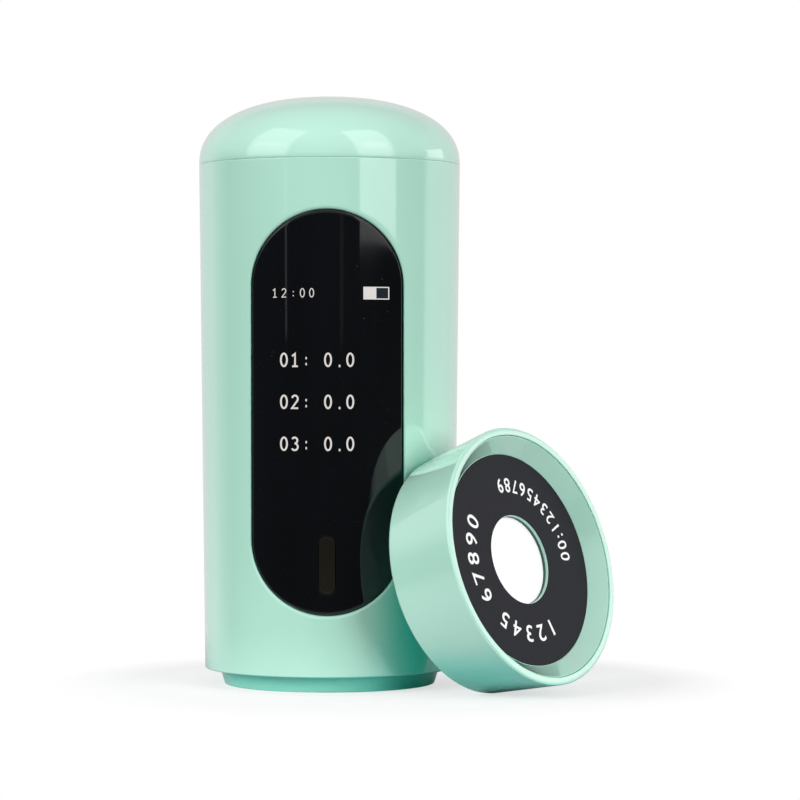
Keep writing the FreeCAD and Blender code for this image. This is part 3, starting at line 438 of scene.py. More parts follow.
class Tree:
    """Short calls for building a node tree."""

    MIX_SOCKETS = {"FLOAT": (2, 3, 0), "RGBA": (6, 7, 2)}

    def __init__(self, tree):
        self.nodes = tree.nodes
        self.links = tree.links

    def add(self, kind, *sources, **values):
        """New node: sources go to its first inputs, and values to its settings or, by capital, its inputs."""
        node = self.nodes.new(kind)
        for name, value in values.items():
            if name[0].islower():
                setattr(node, name, value)
        for i, source in enumerate(sources):
            self.feed(node.inputs[i], source)
        for name, value in values.items():
            if name[0].isupper():
                self.feed(node.inputs[name.replace("_", " ")], value)
        return node

    def feed(self, socket, source):
        """Link a socket to another one, or set its value."""
        if isinstance(source, bpy.types.NodeSocket):
            self.links.new(source, socket)
        else:
            socket.default_value = source

    def math(self, operation, *sources):
        """Result of a math node."""
        return self.add("ShaderNodeMath", *sources, operation=operation).outputs[0]

    def mix(self, kind, share, one, other):
        """Mix of two numbers or two colours by a share."""
        first, second, result = self.MIX_SOCKETS[kind]
        node = self.add("ShaderNodeMix", share, data_type=kind)
        self.feed(node.inputs[first], one)
        self.feed(node.inputs[second], other)
        return node.outputs[result]

    def ranged(self, factor, low, high, start=0.3, end=0.7):
        """A factor spread between two values."""
        return self.add("ShaderNodeMapRange", factor, start, end, low, high).outputs[0]

    def place(self):
        """Object coordinates of a shaded point."""
        return self.add("ShaderNodeTexCoord").outputs["Object"]

    def noise(self, scale, detail=2.0, stretch=(1, 1, 1)):
        """Noise on object coordinates, as a factor."""
        mapping = self.add("ShaderNodeMapping", self.place(), Scale=stretch)
        return self.add("ShaderNodeTexNoise", mapping.outputs[0], Scale=scale, Detail=detail).outputs["Fac"]

    def rays(self):
        """Light path node, and whether a ray comes from the camera or through glass."""
        path = self.add("ShaderNodeLightPath")
        return path, self.math("MAXIMUM", path.outputs["Is Camera Ray"], path.outputs["Is Transmission Ray"])

    def vector(self, x, y, z):
        """Vector from three numbers."""
        return self.add("ShaderNodeCombineXYZ", x, y, z).outputs[0]

    def parts(self, vector):
        """The three numbers of a vector."""
        return self.add("ShaderNodeSeparateXYZ", vector).outputs

    def polar(self, reach, turn, height):
        """Point at a reach from the axis, a turn and a height."""
        x = self.math("MULTIPLY", reach, self.math("COSINE", turn))
        y = self.math("MULTIPLY", reach, self.math("SINE", turn))
        return self.vector(x, y, height)


# Finishes

def new_finish(name, colour, **sockets):
    """Material whose shader's own sockets are set by name, with its tree and shader."""
    material = bpy.data.materials.new(FINISH + name)
    material.use_nodes = True
    tree = Tree(material.node_tree)
    shader = tree.nodes["Principled BSDF"]
    shader.inputs["Base Color"].default_value = (*colour, 1)
    for socket, value in sockets.items():
        shader.inputs[socket.replace("_", " ")].default_value = value
    material.diffuse_color = (*colour, 1)
    return material, tree, shader


def shades(tree, shader, factor, colour, spread):
    """Base colour that drifts a little lighter and darker with a factor."""
    darker = (*[c * (1 - spread) for c in colour], 1)
    lighter = (*[min(c * (1 + spread), 1.0) for c in colour], 1)
    drift = tree.mix("RGBA", tree.ranged(factor, 0.0, 1.0), darker, lighter)
    tree.feed(shader.inputs["Base Color"], drift)
    return drift


def relief(tree, shader, height, strength, distance):
    """Bump from a height."""
    bump = tree.add("ShaderNodeBump", Strength=strength, Distance=distance, Height=height)
    tree.feed(shader.inputs["Normal"], bump.outputs[0])


def gloss(tree, shader, factor, low, high):
    """Roughness that drifts between two values with a factor."""
    tree.feed(shader.inputs["Roughness"], tree.ranged(factor, low, high))


def moulded(name, colour, roughness, spread=0.05, grain=2500.0, depth=0.15):
    """Moulded plastic, elastomer or ceramic with a fine grain and slightly uneven gloss."""
    material, tree, shader = new_finish(name, colour)
    fine = tree.noise(grain, 3.0)
    shades(tree, shader, tree.noise(grain / 30), colour, spread)
    gloss(tree, shader, fine, roughness * 0.9, roughness * 1.1)
    relief(tree, shader, fine, depth, 0.02 * MM)
    return material


def metal(name, colour, roughness, stretch=(1, 1, 12)):
    """Metal with a fine grain, closer along the ways in which it is stretched."""
    material, tree, shader = new_finish(name, colour, Metallic=1.0)
    fine = tree.noise(1500.0, 4.0, stretch)
    shades(tree, shader, fine, colour, 0.08)
    gloss(tree, shader, fine, roughness * 0.8, roughness * 1.2)
    relief(tree, shader, fine, 0.2, 0.01 * MM)
    return material


def mint_plastic(finish):
    """Polished moulded plastic: an even colour with painted shade, a deeper teal where ambient occlusion finds it
    hemmed in, a faint waviness and fine dust.
    """
    colour = tuple(finish.mint)
    material, tree, shader = new_finish("mint_plastic", colour, IOR=1.5, Coat_Weight=1.0, Coat_IOR=1.85,
                                        Coat_Roughness=0.05)
    plain = shades(tree, shader, tree.noise(60.0), colour, 0.012)
    reach = 18 * MM
    # Painted shade: the colour is mixed towards the deep teal where ambient occlusion finds the surface hemmed in
    openness = tree.add("ShaderNodeAmbientOcclusion", samples=8, Distance=reach).outputs["AO"]
    shaded = tree.ranged(openness, 1.0, 0.0, 0.08, 0.42)
    tree.feed(shader.inputs["Base Color"], tree.mix("RGBA", shaded, plain, (*finish.painted_shade_mint, 1)))
    gloss(tree, shader, tree.noise(900.0, 3.0), 0.085, 0.125)
    relief(tree, shader, tree.noise(140.0, 1.0), 0.06, 0.05 * MM)
    return material


def window_black(finish):
    """Polished black window with faint smears and a few specks of dust."""
    colour = tuple(finish.window)
    material, tree, shader = new_finish("window_black", colour, IOR=1.5, Coat_Weight=0.4, Coat_Roughness=0.03)
    smear = tree.noise(120.0, 4.0, (1, 1, 0.25))
    shades(tree, shader, smear, colour, 0.2)
    specks = tree.ranged(tree.noise(2600.0, 1.0), 0.0, 0.25, 0.74, 0.78)
    tree.feed(shader.inputs["Roughness"], tree.math("ADD", tree.ranged(smear, 0.03, 0.075), specks))
    return material


def label_black(finish):
    """Printed charcoal plate with a fine speckle."""
    colour = tuple(finish.label)
    material, tree, shader = new_finish("label_black", colour, Specular_IOR_Level=0.12)
    speckle = tree.noise(5200.0, 4.0)
    shades(tree, shader, speckle, colour, 0.34)
    gloss(tree, shader, speckle, 0.42, 0.6)
    relief(tree, shader, speckle, 0.25, 0.02 * MM)
    return material


def lit_screen(screen):
    """Lit characters, with the screen's dots faintly seen."""
    colour = tuple(screen.colour)
    material, tree, shader = new_finish("lit_screen", (0.02, 0.02, 0.02), Emission_Strength=screen.glow,
                                        Roughness=0.2)
    dots = tree.ranged(tree.noise(9000.0, 1.0), 0.0, 1.0)
    dimmer = (*[c * 0.88 for c in colour], 1)
    tree.feed(shader.inputs["Emission Color"], tree.mix("RGBA", dots, dimmer, (*colour, 1)))
    return material


def unlit_screen():
    """Dark blue of the battery sign's empty half."""
    colour = (0.004, 0.008, 0.016)
    material, tree, shader = new_finish("unlit_screen", colour, Roughness=0.15)
    shades(tree, shader, tree.noise(9000.0, 1.0), colour, 0.2)
    return material


def board_green():
    """Solder mask with faint tracks under it."""
    colour = (0.03, 0.2, 0.08)
    material, tree, shader = new_finish("board_green", colour, Roughness=0.35)
    tracks = tree.add("ShaderNodeTexBrick", tree.place(), Scale=420.0, Color1=(*colour, 1),
                      Color2=(0.026, 0.18, 0.07, 1), Mortar=(0.06, 0.3, 0.13, 1))
    tree.feed(shader.inputs["Base Color"], tracks.outputs["Color"])
    relief(tree, shader, tracks.outputs["Fac"], 0.3, 0.02 * MM)
    return material


def clear_glass():
    """Clear polished glass with faint smears."""
    material, tree, shader = new_finish("clear_glass", (0.95, 0.98, 0.97), Transmission_Weight=1.0, IOR=1.5)
    gloss(tree, shader, tree.noise(400.0, 3.0), 0.01, 0.05)
    return material


def led_yellow():
    """Yellow phosphor with a fine grain."""
    colour = (0.85, 0.6, 0.12)
    material, tree, shader = new_finish("led_yellow", colour, Roughness=0.4)
    cells = tree.noise(3500.0, 3.0)
    shades(tree, shader, cells, colour, 0.12)
    relief(tree, shader, cells, 0.3, 0.02 * MM)
    return material


def foam():
    """Open-celled foam."""
    colour = (0.1, 0.1, 0.1)
    material, tree, shader = new_finish("pad_foam", colour, Roughness=0.9)
    cells = tree.add("ShaderNodeTexVoronoi", tree.place(), Scale=4000.0).outputs["Distance"]
    shades(tree, shader, cells, colour, 0.4)
    relief(tree, shader, cells, 0.8, 0.1 * MM)
    return material


def node_finishes():
    """Finish for each material slot that only carried-over nodes use."""
    return {
        "black_rubber": moulded("black_rubber", (0.012, 0.02, 0.016), 0.7, grain=3000.0),
        "black_plastic": moulded("black_plastic", (0.02, 0.02, 0.02), 0.45),
        "screen_glass": moulded("screen_glass", (0.01, 0.01, 0.012), 0.06, depth=0.02),
        "white_plastic": moulded("white_plastic", (0.8, 0.8, 0.78), 0.4),
        "ribbon_amber": moulded("ribbon_amber", (0.55, 0.26, 0.05), 0.25, grain=1200.0),
        "board_green": board_green(),
        "chip_black": moulded("chip_black", (0.018, 0.018, 0.02), 0.55, grain=4000.0),
        "screw_steel": metal("screw_steel", (0.6, 0.6, 0.6), 0.3),
        "grey_plastic": moulded("grey_plastic", (0.22, 0.23, 0.24), 0.5),
        "cell_wrap": moulded("cell_wrap", (0.05, 0.16, 0.5), 0.22, grain=700.0),
        "red_lead": moulded("red_lead", (0.5, 0.03, 0.03), 0.45),
        "optics_black": moulded("optics_black", (0.013, 0.013, 0.013), 0.8, grain=5000.0, depth=0.5),
        "led_yellow": led_yellow(),
        "gold_pin": metal("gold_pin", (0.8, 0.58, 0.25), 0.25),
        "clear_glass": clear_glass(),
        "magnet_nickel": metal("magnet_nickel", (0.68, 0.68, 0.66), 0.18, (1, 1, 1)),
        "pad_foam": foam(),
        "socket_steel": metal("socket_steel", (0.62, 0.62, 0.63), 0.25, (12, 1, 1)),
    }


def mint():
    """The mint plastic that the case and the cap share, made the first time that it is asked for."""
    return bpy.data.materials.get(FINISH + "mint_plastic") or mint_plastic(settings().finish)


# Geometry node groups

def node_group(name, **inputs):
    """Geometry node group with named inputs, its tree, the sockets of its input node and its output node."""
    group = bpy.data.node_groups.new(name, "GeometryNodeTree")
    for label, kind in {"Geometry": "Geometry", **inputs}.items():
        group.interface.new_socket(label, in_out="INPUT", socket_type="NodeSocket" + kind)
    group.interface.new_socket("Geometry", in_out="OUTPUT", socket_type="NodeSocketGeometry")
    tree = Tree(group)
    return group, tree, tree.add("NodeGroupInput").outputs, tree.add("NodeGroupOutput")


def end_group(tree, given, result, geometry):
    """End a group with real geometry in the given finish."""
    real = tree.add("GeometryNodeRealizeInstances", geometry)
    dressed = tree.add("GeometryNodeSetMaterial", real.outputs[0], Material=given["Finish"])
    tree.feed(result.inputs[0], dressed.outputs[0])


def grown(mesh, group, **values):
    """Mesh that a node group makes from another one."""
    seed = plain_object(mesh.name, mesh)
    modifier = seed.modifiers.new(group.name, "NODES")
    modifier.node_group = group
    sockets = {s.name: s.identifier for s in group.interface.items_tree if s.in_out == "INPUT"}
    for label, value in values.items():
        modifier[sockets[label]] = value
    bpy.context.view_layer.update()
    shown = seed.evaluated_get(bpy.context.evaluated_depsgraph_get())
    made = bpy.data.meshes.new_from_object(shown)
    bpy.data.objects.remove(seed)
    return made


def turned_group():
    """Node group that turns an outline in the XZ plane into a round piece, one column of faces at a time."""
    name = "turned_piece"
    if name in bpy.data.node_groups:
        return bpy.data.node_groups[name]
    group, tree, given, result = node_group(name, Columns="Int", Points="Int", Weld="Float",
                                            Finish="Material")
    points = given["Points"]
    grid = tree.add("GeometryNodeMeshGrid", 1.0, 1.0, tree.math("ADD", given["Columns"], 1.0), points)
    across, along, _ = tree.parts(tree.add("GeometryNodeInputPosition").outputs[0])
    turn = tree.math("MULTIPLY", tree.math("ADD", across, 0.5), 2 * math.pi)
    row = tree.math("MULTIPLY", tree.math("ADD", along, 0.5), tree.math("SUBTRACT", points, 1.0))
    outline = tree.add("GeometryNodeSampleIndex", data_type="FLOAT_VECTOR", domain="POINT",
                       Geometry=given["Geometry"], Value=tree.add("GeometryNodeInputPosition").outputs[0],
                       Index=tree.math("ROUND", row))
    reach, _, height = tree.parts(outline.outputs[0])
    point = tree.polar(reach, turn, height)
    moved = tree.add("GeometryNodeSetPosition", grid.outputs["Mesh"], Position=point)
    welded = tree.add("GeometryNodeMergeByDistance", moved.outputs[0], Distance=given["Weld"])
    end_group(tree, given, result, welded.outputs[0])
    return group


def turned_piece(name, outline, columns, material, place=Matrix()):
    """Round piece from a closed outline of (radius, height) pairs, put in its place."""
    points = outline + outline[:1]
    mesh = bpy.data.meshes.new(name + "_outline")
    mesh.from_pydata([(r, 0, h) for r, h in points], [(i, i + 1) for i in range(len(outline))], [])
    made = grown(mesh, turned_group(), Columns=columns, Points=len(points), Weld=WELD, Finish=material)
    made.transform(place)
    return finished(name, made)


def contact_group():
    """Node group that lays a row of flat contacts on both faces of a socket's tongue."""
    group, tree, given, result = node_group("socket_contacts", Count="Int", Pitch="Float", Size="Vector",
                                            Apart="Float", Finish="Material")
    span = tree.math("MULTIPLY", tree.math("SUBTRACT", given["Count"], 1.0), given["Pitch"])
    start = tree.math("MULTIPLY", span, -0.5)
    half = tree.math("MULTIPLY", given["Apart"], 0.5)
    contact = tree.add("GeometryNodeMeshCube", given["Size"])
    both = tree.add("GeometryNodeJoinGeometry")
    for side in (1.0, -1.0):
        row = tree.add("GeometryNodeMeshLine", count_mode="TOTAL", Count=given["Count"],
                       Start_Location=tree.vector(start, 0.0, tree.math("MULTIPLY", half, side)),
                       Offset=tree.vector(given["Pitch"], 0.0, 0.0))
        laid = tree.add("GeometryNodeInstanceOnPoints", row.outputs[0], Instance=contact.outputs["Mesh"])
        tree.feed(both.inputs[0], laid.outputs[0])
    end_group(tree, given, result, both.outputs[0])
    return group


def arc_text_group():
    """Node group that sets words round an arc, as flat faces with a thin bead round each character."""
    group, tree, given, result = node_group(
        "numbers_on_arc", Words="String", Size="Float", Radius="Float", Start="Float", Turn="Float",
        Spread="Float", Height="Float", Weight="Float", Finish="Material")
    text = tree.add("GeometryNodeStringToCurves", given["Words"], Size=given["Size"],
                    Character_Spacing=given["Spread"])
    whole = tree.add("GeometryNodeRealizeInstances", text.outputs["Curve Instances"])
    filled = tree.add("GeometryNodeFillCurve", whole.outputs[0])
    bead = tree.add("GeometryNodeCurvePrimitiveCircle", Resolution=8, Radius=given["Weight"])
    rims = tree.add("GeometryNodeCurveToMesh", whole.outputs[0], bead.outputs["Curve"])
    bold = tree.add("GeometryNodeJoinGeometry")
    for shape in (filled, rims):
        tree.feed(bold.inputs[0], shape.outputs[0])
    flatness = 0.2
    along, above, out = tree.parts(tree.add("GeometryNodeInputPosition").outputs[0])
    bend = tree.math("MULTIPLY", tree.math("DIVIDE", along, given["Radius"]), given["Turn"])
    reach = tree.math("SUBTRACT", given["Radius"], tree.math("MULTIPLY", above, given["Turn"]))
    flattened = tree.math("ADD", given["Height"], tree.math("MULTIPLY", out, flatness))
    point = tree.polar(reach, tree.math("ADD", given["Start"], bend), flattened)
    moved = tree.add("GeometryNodeSetPosition", bold.outputs[0], Position=point)
    end_group(tree, given, result, moved.outputs[0])
    return group


# Case

class METER_OT_body_shell(Operator):
    """Tapered tube with the window's opening, the socket's slot and its floor"""
    bl_idname = "meter.body_shell"
    bl_label = "Tube"

    def execute(self, context):
        case, window = settings().case, settings().window
        surface = Surface()
        turns = [2 * math.pi * i / case.columns for i in range(case.columns)]

        def level_ring(z, inset):
            return surface.loop([on_case(case, a, z, inset) for a in turns])

        def row_at(z):
            return min(range(len(heights)), key=lambda j: abs(heights[j] - z))

        support = 0.04 * MM
        low, high = FOOT_Z + case.edge + support, SEAM_Z - case.seam - support
        heights = [low + (high - low) * j / case.rows for j in range(case.rows + 1)]
        outer = [level_ring(z, 0) for z in heights]
        floor_z = FOOT_Z + case.floor
        floor_row = next(j for j, z in enumerate(heights) if z > floor_z + case.edge)
        inner = [level_ring(z, case.wall) for z in heights[floor_row:]]
        end = [outer[-1]]
        end += [level_ring(SEAM_Z - case.seam * up, case.seam * inset) for up, inset in quarter(3)]
        surface.bands(end + [level_ring(SEAM_Z, case.wall), inner[-1]])
        bore_low = case_radius(case, FOOT_Z) - case_radius(case, floor_z) + case.bore
        foot = [outer[0]]
        foot += [level_ring(FOOT_Z + case.edge * up, case.edge * inset) for up, inset in quarter(3)]
        foot += [level_ring(FOOT_Z, bore_low), level_ring(floor_z, case.bore), level_ring(floor_z, case.wall)]
        surface.bands(foot + [inner[0]])

        margin = 3 * MM
        per_turn = case.columns / (2 * math.pi)
        reach = round((math.asin(LENS_HIGH.x / SEAM_RADIUS) + margin / SEAM_RADIUS) * per_turn)
        window_hole = (-reach, reach, row_at(LENS_LOW.z - margin), row_at(LENS_HIGH.z + margin))
        reach = round((SOCKET_HIGH.x + 2 * margin) / SEAM_RADIUS * per_turn)
        rear = case.columns // 2
        socket_hole = (rear - reach, rear + reach,
                       row_at(SOCKET_LOW.z - 1.5 * margin), row_at(SOCKET_HIGH.z + 1.5 * margin))
        holes = (window_hole, socket_hole)
        inner_holes = [(a, b, c - floor_row, d - floor_row) for a, b, c, d in holes]
        surface.grid(outer, holes, wrap=True)
        surface.grid(inner, inner_holes, wrap=True)
        seat = window.thickness + 0.15 * MM
        rounding = [(grow * window.opening_edge, inset * window.opening_edge) for grow, inset in quarter(4)]
        openings = (
            (FRONT, window_slot(), WINDOW_Z, window.gap, [(window.gap, seat)],
             [(-window.ledge, case.wall), (-window.ledge, seat)], 18),
            (REAR, socket_slot(), SOCKET_Z, window.socket_gap, [], [(window.socket_gap, case.wall)], 10),
        )
        pairs = zip(holes, inner_holes)
        for pair, (centre, slot, middle_z, gap, rest, behind, steps) in zip(pairs, openings):
            profile = [(gap + grow, inset) for grow, inset in rounding] + rest
            join_opening(surface, case, (outer, inner), pair, centre, slot, middle_z, profile, behind, steps)
        dress(finished("tube", surface.mesh("tube")), mint(), "case", "mint_plastic", "body_shell")
        return {"FINISHED"}


def join_opening(surface, case, walls, holes, centre, slot, middle_z, profile, behind, steps):
    """Fill from the grids of the skin and the inner wall to an opening's edge, and go through the wall."""
    across, up = holes[0][1] - holes[0][0], holes[0][3] - holes[0][2]

    def edge_at(grow, inset):
        outline = slot_loop(slot, grow, across, up)
        return [(turn_at(case, centre, x, middle_z + z, inset), middle_z + z) for x, z in outline]

    def fill(rows, hole, grow, inset):
        far = border(rows, hole)
        edge = edge_at(grow, inset)
        loops = [far]
        for k in range(1, steps + 1):
            share = k / steps
            ring = []
            for number, (turn, z) in zip(far, edge):
                point = surface.points[number]
                start = centre + wrapped(math.atan2(point.x, -point.y) - centre)
                between = start + (turn - start) * share
                ring.append(on_case(case, between, point.z + (z - point.z) * share, inset))
            loops.append(surface.loop(ring))
        surface.bands(loops)
        return loops[-1]

    through = [fill(walls[0], holes[0], *profile[0])]
    for grow, inset in profile[1:] + behind[:0:-1]:
        through.append(surface.loop([on_case(case, turn, z, inset) for turn, z in edge_at(grow, inset)]))
    through.append(fill(walls[1], holes[1], *behind[0]))
    surface.bands(through)


class METER_OT_top_cover(Operator):
    """Domed cover with an even wall and a skirt"""
    bl_idname = "meter.top_cover"
    bl_label = "Cover"

    def execute(self, context):
        case = settings().case
        height = COVER_HIGH.z - SEAM_Z
        fit, skirt_wall = 0.1 * MM, 1.2 * MM
        foot = SEAM_Z - case.skirt
        skirt_radius = case_radius(case, foot) - case.wall - fit
        hollow_radius = skirt_radius - skirt_wall

        def dome(radius, rise, steps):
            turns = [math.pi / 2 * i / steps for i in range(steps, -1, -1)]
            power = 2 / case.dome_power
            return [(radius * math.cos(a) ** power if i else 0.0, SEAM_Z + rise * math.sin(a) ** power)
                    for i, a in enumerate(turns)]

        outside = [(r, z) for r, z in dome(SEAM_RADIUS, height, case.dome_steps) if z > SEAM_Z + case.seam]
        edge = [(SEAM_RADIUS - case.seam * inset, SEAM_Z + case.seam * up) for up, inset in quarter(3)]
        skirt = [(skirt_radius, SEAM_Z), (skirt_radius, foot), (hollow_radius, foot)]
        hollow = dome(hollow_radius, height - case.dome_wall, case.dome_steps // 2)[::-1]
        cover = turned_piece("cover", outside + edge + skirt + hollow, case.columns, mint())
        dress(cover, mint(), "case", "mint_plastic", "top_cover")
        return {"FINISHED"}


class METER_OT_nose_ring(Operator):
    """Conical nose with its bore and spigot"""
    bl_idname = "meter.nose_ring"
    bl_label = "Nose"

    def execute(self, context):
        case = settings().case
        bore, top = case.nose_bore, NOSE_HIGH.x
        edge, spigot_inset = 0.15 * MM, 3.4 * MM
        spigot = case_radius(case, NOSE_HIGH.z) - spigot_inset
        outline = rounded([(bore, 0, 0), (top - case.nose_taper, 0, edge), (top, FOOT_Z, 0),
                           (spigot, FOOT_Z, 0), (spigot, NOSE_HIGH.z, 0), (bore, NOSE_HIGH.z, 0)])
        nose = turned_piece("nose", outline, case.columns, mint())
        dress(nose, mint(), "case", "mint_plastic", "nose_ring")
        return {"FINISHED"}


# Window, key and screen

def warped_grid(surface, case, slot, grow, inset, columns, rows):
    """Grid over a slot-shaped patch of the tube, its border on the slot's outline."""
    radius, _, rise = slot
    radius += grow
    bends = [math.pi * (i / columns - 0.5) for i in range(columns + 1)]
    made = []
    for j in range(rows + 1):
        share = 2 * j / rows - 1
        made.append(surface.loop([
            at_front(case, radius * math.sin(a), WINDOW_Z + share * (rise + radius * math.cos(a)), inset)
            for a in bends]))
    return made


def warped_border(case, slot, grow, inset, columns, rows):
    """Points round the slot's outline that match the border of its warped grid."""
    radius, _, rise = slot
    radius += grow
    bends = [math.pi * (i / columns - 0.5) for i in range(columns)]
    half = [(radius * math.sin(a), -rise - radius * math.cos(a)) for a in bends]
    half += [(radius, rise * (2 * j / rows - 1)) for j in range(rows)]
    return [at_front(case, x, WINDOW_Z + z, inset) for x, z in half + [(-x, -z) for x, z in half]]


def key_rows(slot, window, rows):
    """Rows of the warped grid that clear the key's hole."""
    half = rows / 2
    reach = slot[0] + slot[2]
    margin = 1.2 * MM
    clear = window.key_height / 2 + margin
    low = math.floor(half + half * (KEY_Z - clear - WINDOW_Z) / reach)
    high = math.ceil(half + half * (KEY_Z + clear - WINDOW_Z) / reach)
    return low, high


class METER_OT_window_lens(Operator):
    """Gloss window that follows the tube's round, with the key's hole through it"""
    bl_idname = "meter.window_lens"
    bl_label = "Window"

    def execute(self, context):
        case, window = settings().case, settings().window
        surface = Surface()
        slot = window_slot()
        columns, rows, reach, steps = 64, 128, 5, 6
        hole = (columns // 2 - reach, columns // 2 + reach, *key_rows(slot, window, rows))
        front = warped_grid(surface, case, slot, -window.edge, 0, columns, rows)
        back = warped_grid(surface, case, slot, 0, window.thickness, columns, rows)
        whole = (0, columns, 0, rows)
        side = [border(front, whole)]
        for grow, inset in quarter(4)[1:]:
            side.append(surface.loop(warped_border(case, slot, -grow * window.edge, inset * window.edge,
                                                   columns, rows)))
        surface.bands(side + [border(back, whole)])

        def edge_at(grow, inset):
            outline = slot_loop(key_slot(window), grow, hole[1] - hole[0], hole[3] - hole[2])
            return [at_front(case, x, KEY_Z + z, inset) for x, z in outline]

        def fill(wall, grow, inset):
            surface.grid(wall, [hole])
            loops = [border(wall, hole)]
            pairs = [(surface.points[number], point) for number, point in zip(loops[0], edge_at(grow, inset))]
            for k in range(1, steps + 1):
                mixed = [far.lerp(point, k / steps) for far, point in pairs]
                loops.append(surface.loop([on_case(case, math.atan2(p.x, -p.y), p.z, inset) for p in mixed]))
            surface.bands(loops)
            return loops[-1]

        edge = 0.04 * MM
        through = [fill(front, window.gap + edge, 0)]
        for grow, inset in quarter(4)[1:]:
            through.append(surface.loop(edge_at(window.gap + grow * edge, inset * edge)))
        surface.bands(through + [fill(back, window.gap, window.thickness)])
        lens = finished("window", surface.mesh("window"))
        dress(lens, window_black(settings().finish), "case", "window_black", "window_lens")
        return {"FINISHED"}


class METER_OT_measure_key(Operator):
    """Pill key with a flange behind the window and a post to its switch"""
    bl_idname = "meter.measure_key"
    bl_label = "Key"

    def execute(self, context):
        case, window = settings().case, settings().window
        surface = Surface()
        flange = window.key_flange
        flange_y = self.flange_front(case, window)
        flange_back = flange_y + flange
        edge, face_rings = 0.06 * MM, (-0.8 * MM, -0.5 * MM)
        across, up = 16, 28

        def outline(grow):
            return slot_loop(key_slot(window), grow, across, up)

        def on_face(grow, depth):
            inset = window.key_recess + depth
            return surface.loop([at_front(case, x, KEY_Z + z, inset) for x, z in outline(grow)])

        def level(grow, y):
            return surface.loop([Vector((x, y, KEY_Z + z)) for x, z in outline(grow)])

        def post(y):
            turns = [math.atan2(z, x) for x, z in outline(0)]
            radius = window.key_post
            return surface.loop([Vector((radius * math.cos(a), y, KEY_Z + radius * math.sin(a)))
                                 for a in turns])

        loops = [on_face(grow, 0) for grow in face_rings]
        loops += [on_face(-grow * edge, depth * edge) for grow, depth in quarter(5)]
        loops += [level(0, flange_y), level(flange, flange_y), level(flange, flange_back)]
        surface.closed(loops + [post(flange_back), post(KEY_HIGH.y)])
        colour = tuple(settings().finish.key)
        bronze = moulded("key_bronze", colour, 0.22, spread=0.15, grain=3500.0, depth=0.05)
        dress(finished("key", surface.mesh("key")), bronze, "key", "key_bronze", "measure_key")
        return {"FINISHED"}

    @staticmethod
    def flange_front(case, window):
        """Front of the flange, a stop gap behind the window's back at the flange's sides."""
        stop_gap = 0.15 * MM
        half_width = window.key_half_width + window.key_flange
        wall = case_radius(case, KEY_Z - window.key_height / 2 - window.key_flange) - window.thickness
        return stop_gap - math.sqrt(wall ** 2 - half_width ** 2)


def arc_points(x, y, wide, tall, start, end, steps):
    """Points along an upright oval's arc, in degrees."""
    turns = [math.radians(start + (end - start) * i / steps) for i in range(steps + 1)]
    return [(x + wide * math.cos(a), y + tall * math.sin(a)) for a in turns]


# Strokes of each character that the screen can show, in a cell one high
SIGNS = {
    "0": [arc_points(0.29, 0.5, 0.215, 0.445, 0, 360, 28)],
    "1": [[(0.1, 0.76), (0.3, 0.93), (0.3, 0.05)], [(0.1, 0.05), (0.5, 0.05)]],
    "2": [arc_points(0.29, 0.71, 0.205, 0.235, 165, -38, 14) + [(0.08, 0.055), (0.52, 0.055)]],
    "3": [arc_points(0.27, 0.735, 0.19, 0.21, 150, -90, 14),
          arc_points(0.27, 0.29, 0.225, 0.235, 90, -150, 16)],
    ":": [[(0.26, 0.2), (0.36, 0.2)], [(0.26, 0.62), (0.36, 0.62)]],
    ".": [[(0.26, 0.07), (0.38, 0.07)]],
}


def stroke_sides(points, width):
    """Both sides of a stroke, mitred at its bends, and whether it is closed."""
    closed = math.dist(points[0], points[-1]) < 1e-9
    line = [Vector(p) for p in (points[:-1] if closed else points)]
    left, right = [], []
    for i, here in enumerate(line):
        before = here - line[i - 1] if closed or i > 0 else line[1] - line[0]
        after = line[(i + 1) % len(line)] - here if closed or i < len(line) - 1 else before
        middle = (before.normalized() + after.normalized()).normalized()
        reach = width / 2 / max(middle.dot(after.normalized()), 0.5)
        side = Vector((-middle.y, middle.x)) * reach
        left.append(here + side)
        right.append(here - side)
    return left, right, closed


def add_stroke(surface, place, points, width):
    """Flat ribbon along a stroke, put on the window by the place function."""
    left, right, closed = stroke_sides(points, width)
    one = surface.loop([place(*p) for p in left])
    other = surface.loop([place(*p) for p in right])
    for i in range(len(one) if closed else len(one) - 1):
        after = (i + 1) % len(one)
        surface.faces.append((one[i], other[i], other[after], one[after]))


def add_plate(surface, place, low, high):
    """Flat upright plate between two corners, put on the window by the place function."""
    (x0, z0), (x1, z1) = low, high
    steps = 6
    lower, upper = (surface.loop([place(x0 + (x1 - x0) * i / steps, z) for i in range(steps + 1)])
                    for z in (z0, z1))
    for i in range(steps):
        surface.faces.append((lower[i], lower[i + 1], upper[i + 1], upper[i]))


def add_words(surface, on_lens, words, x, z, height, advance, stroke):
    """Strokes of a row of characters, from its lower left corner, with the dots a little heavier."""
    dot_weight = 1.3
    for number, sign in enumerate(words):
        start = x + number * advance

        def place(u, v, start=start):
            return on_lens(start + u * height, z + v * height)

        for points in SIGNS.get(sign, ()):
            add_stroke(surface, place, points, stroke * (dot_weight if sign in ":." else 1.0))


def raised(name, surface, material, thickness):
    """Thin piece of the screen, from flat faces that are given a thickness outwards."""
    piece = plain_object(name, surface.mesh(name))
    solid = piece.modifiers.new("thickness", "SOLIDIFY")
    solid.thickness = thickness
    solid.offset = 1
    dress(piece, material, "case", "screen_glass")


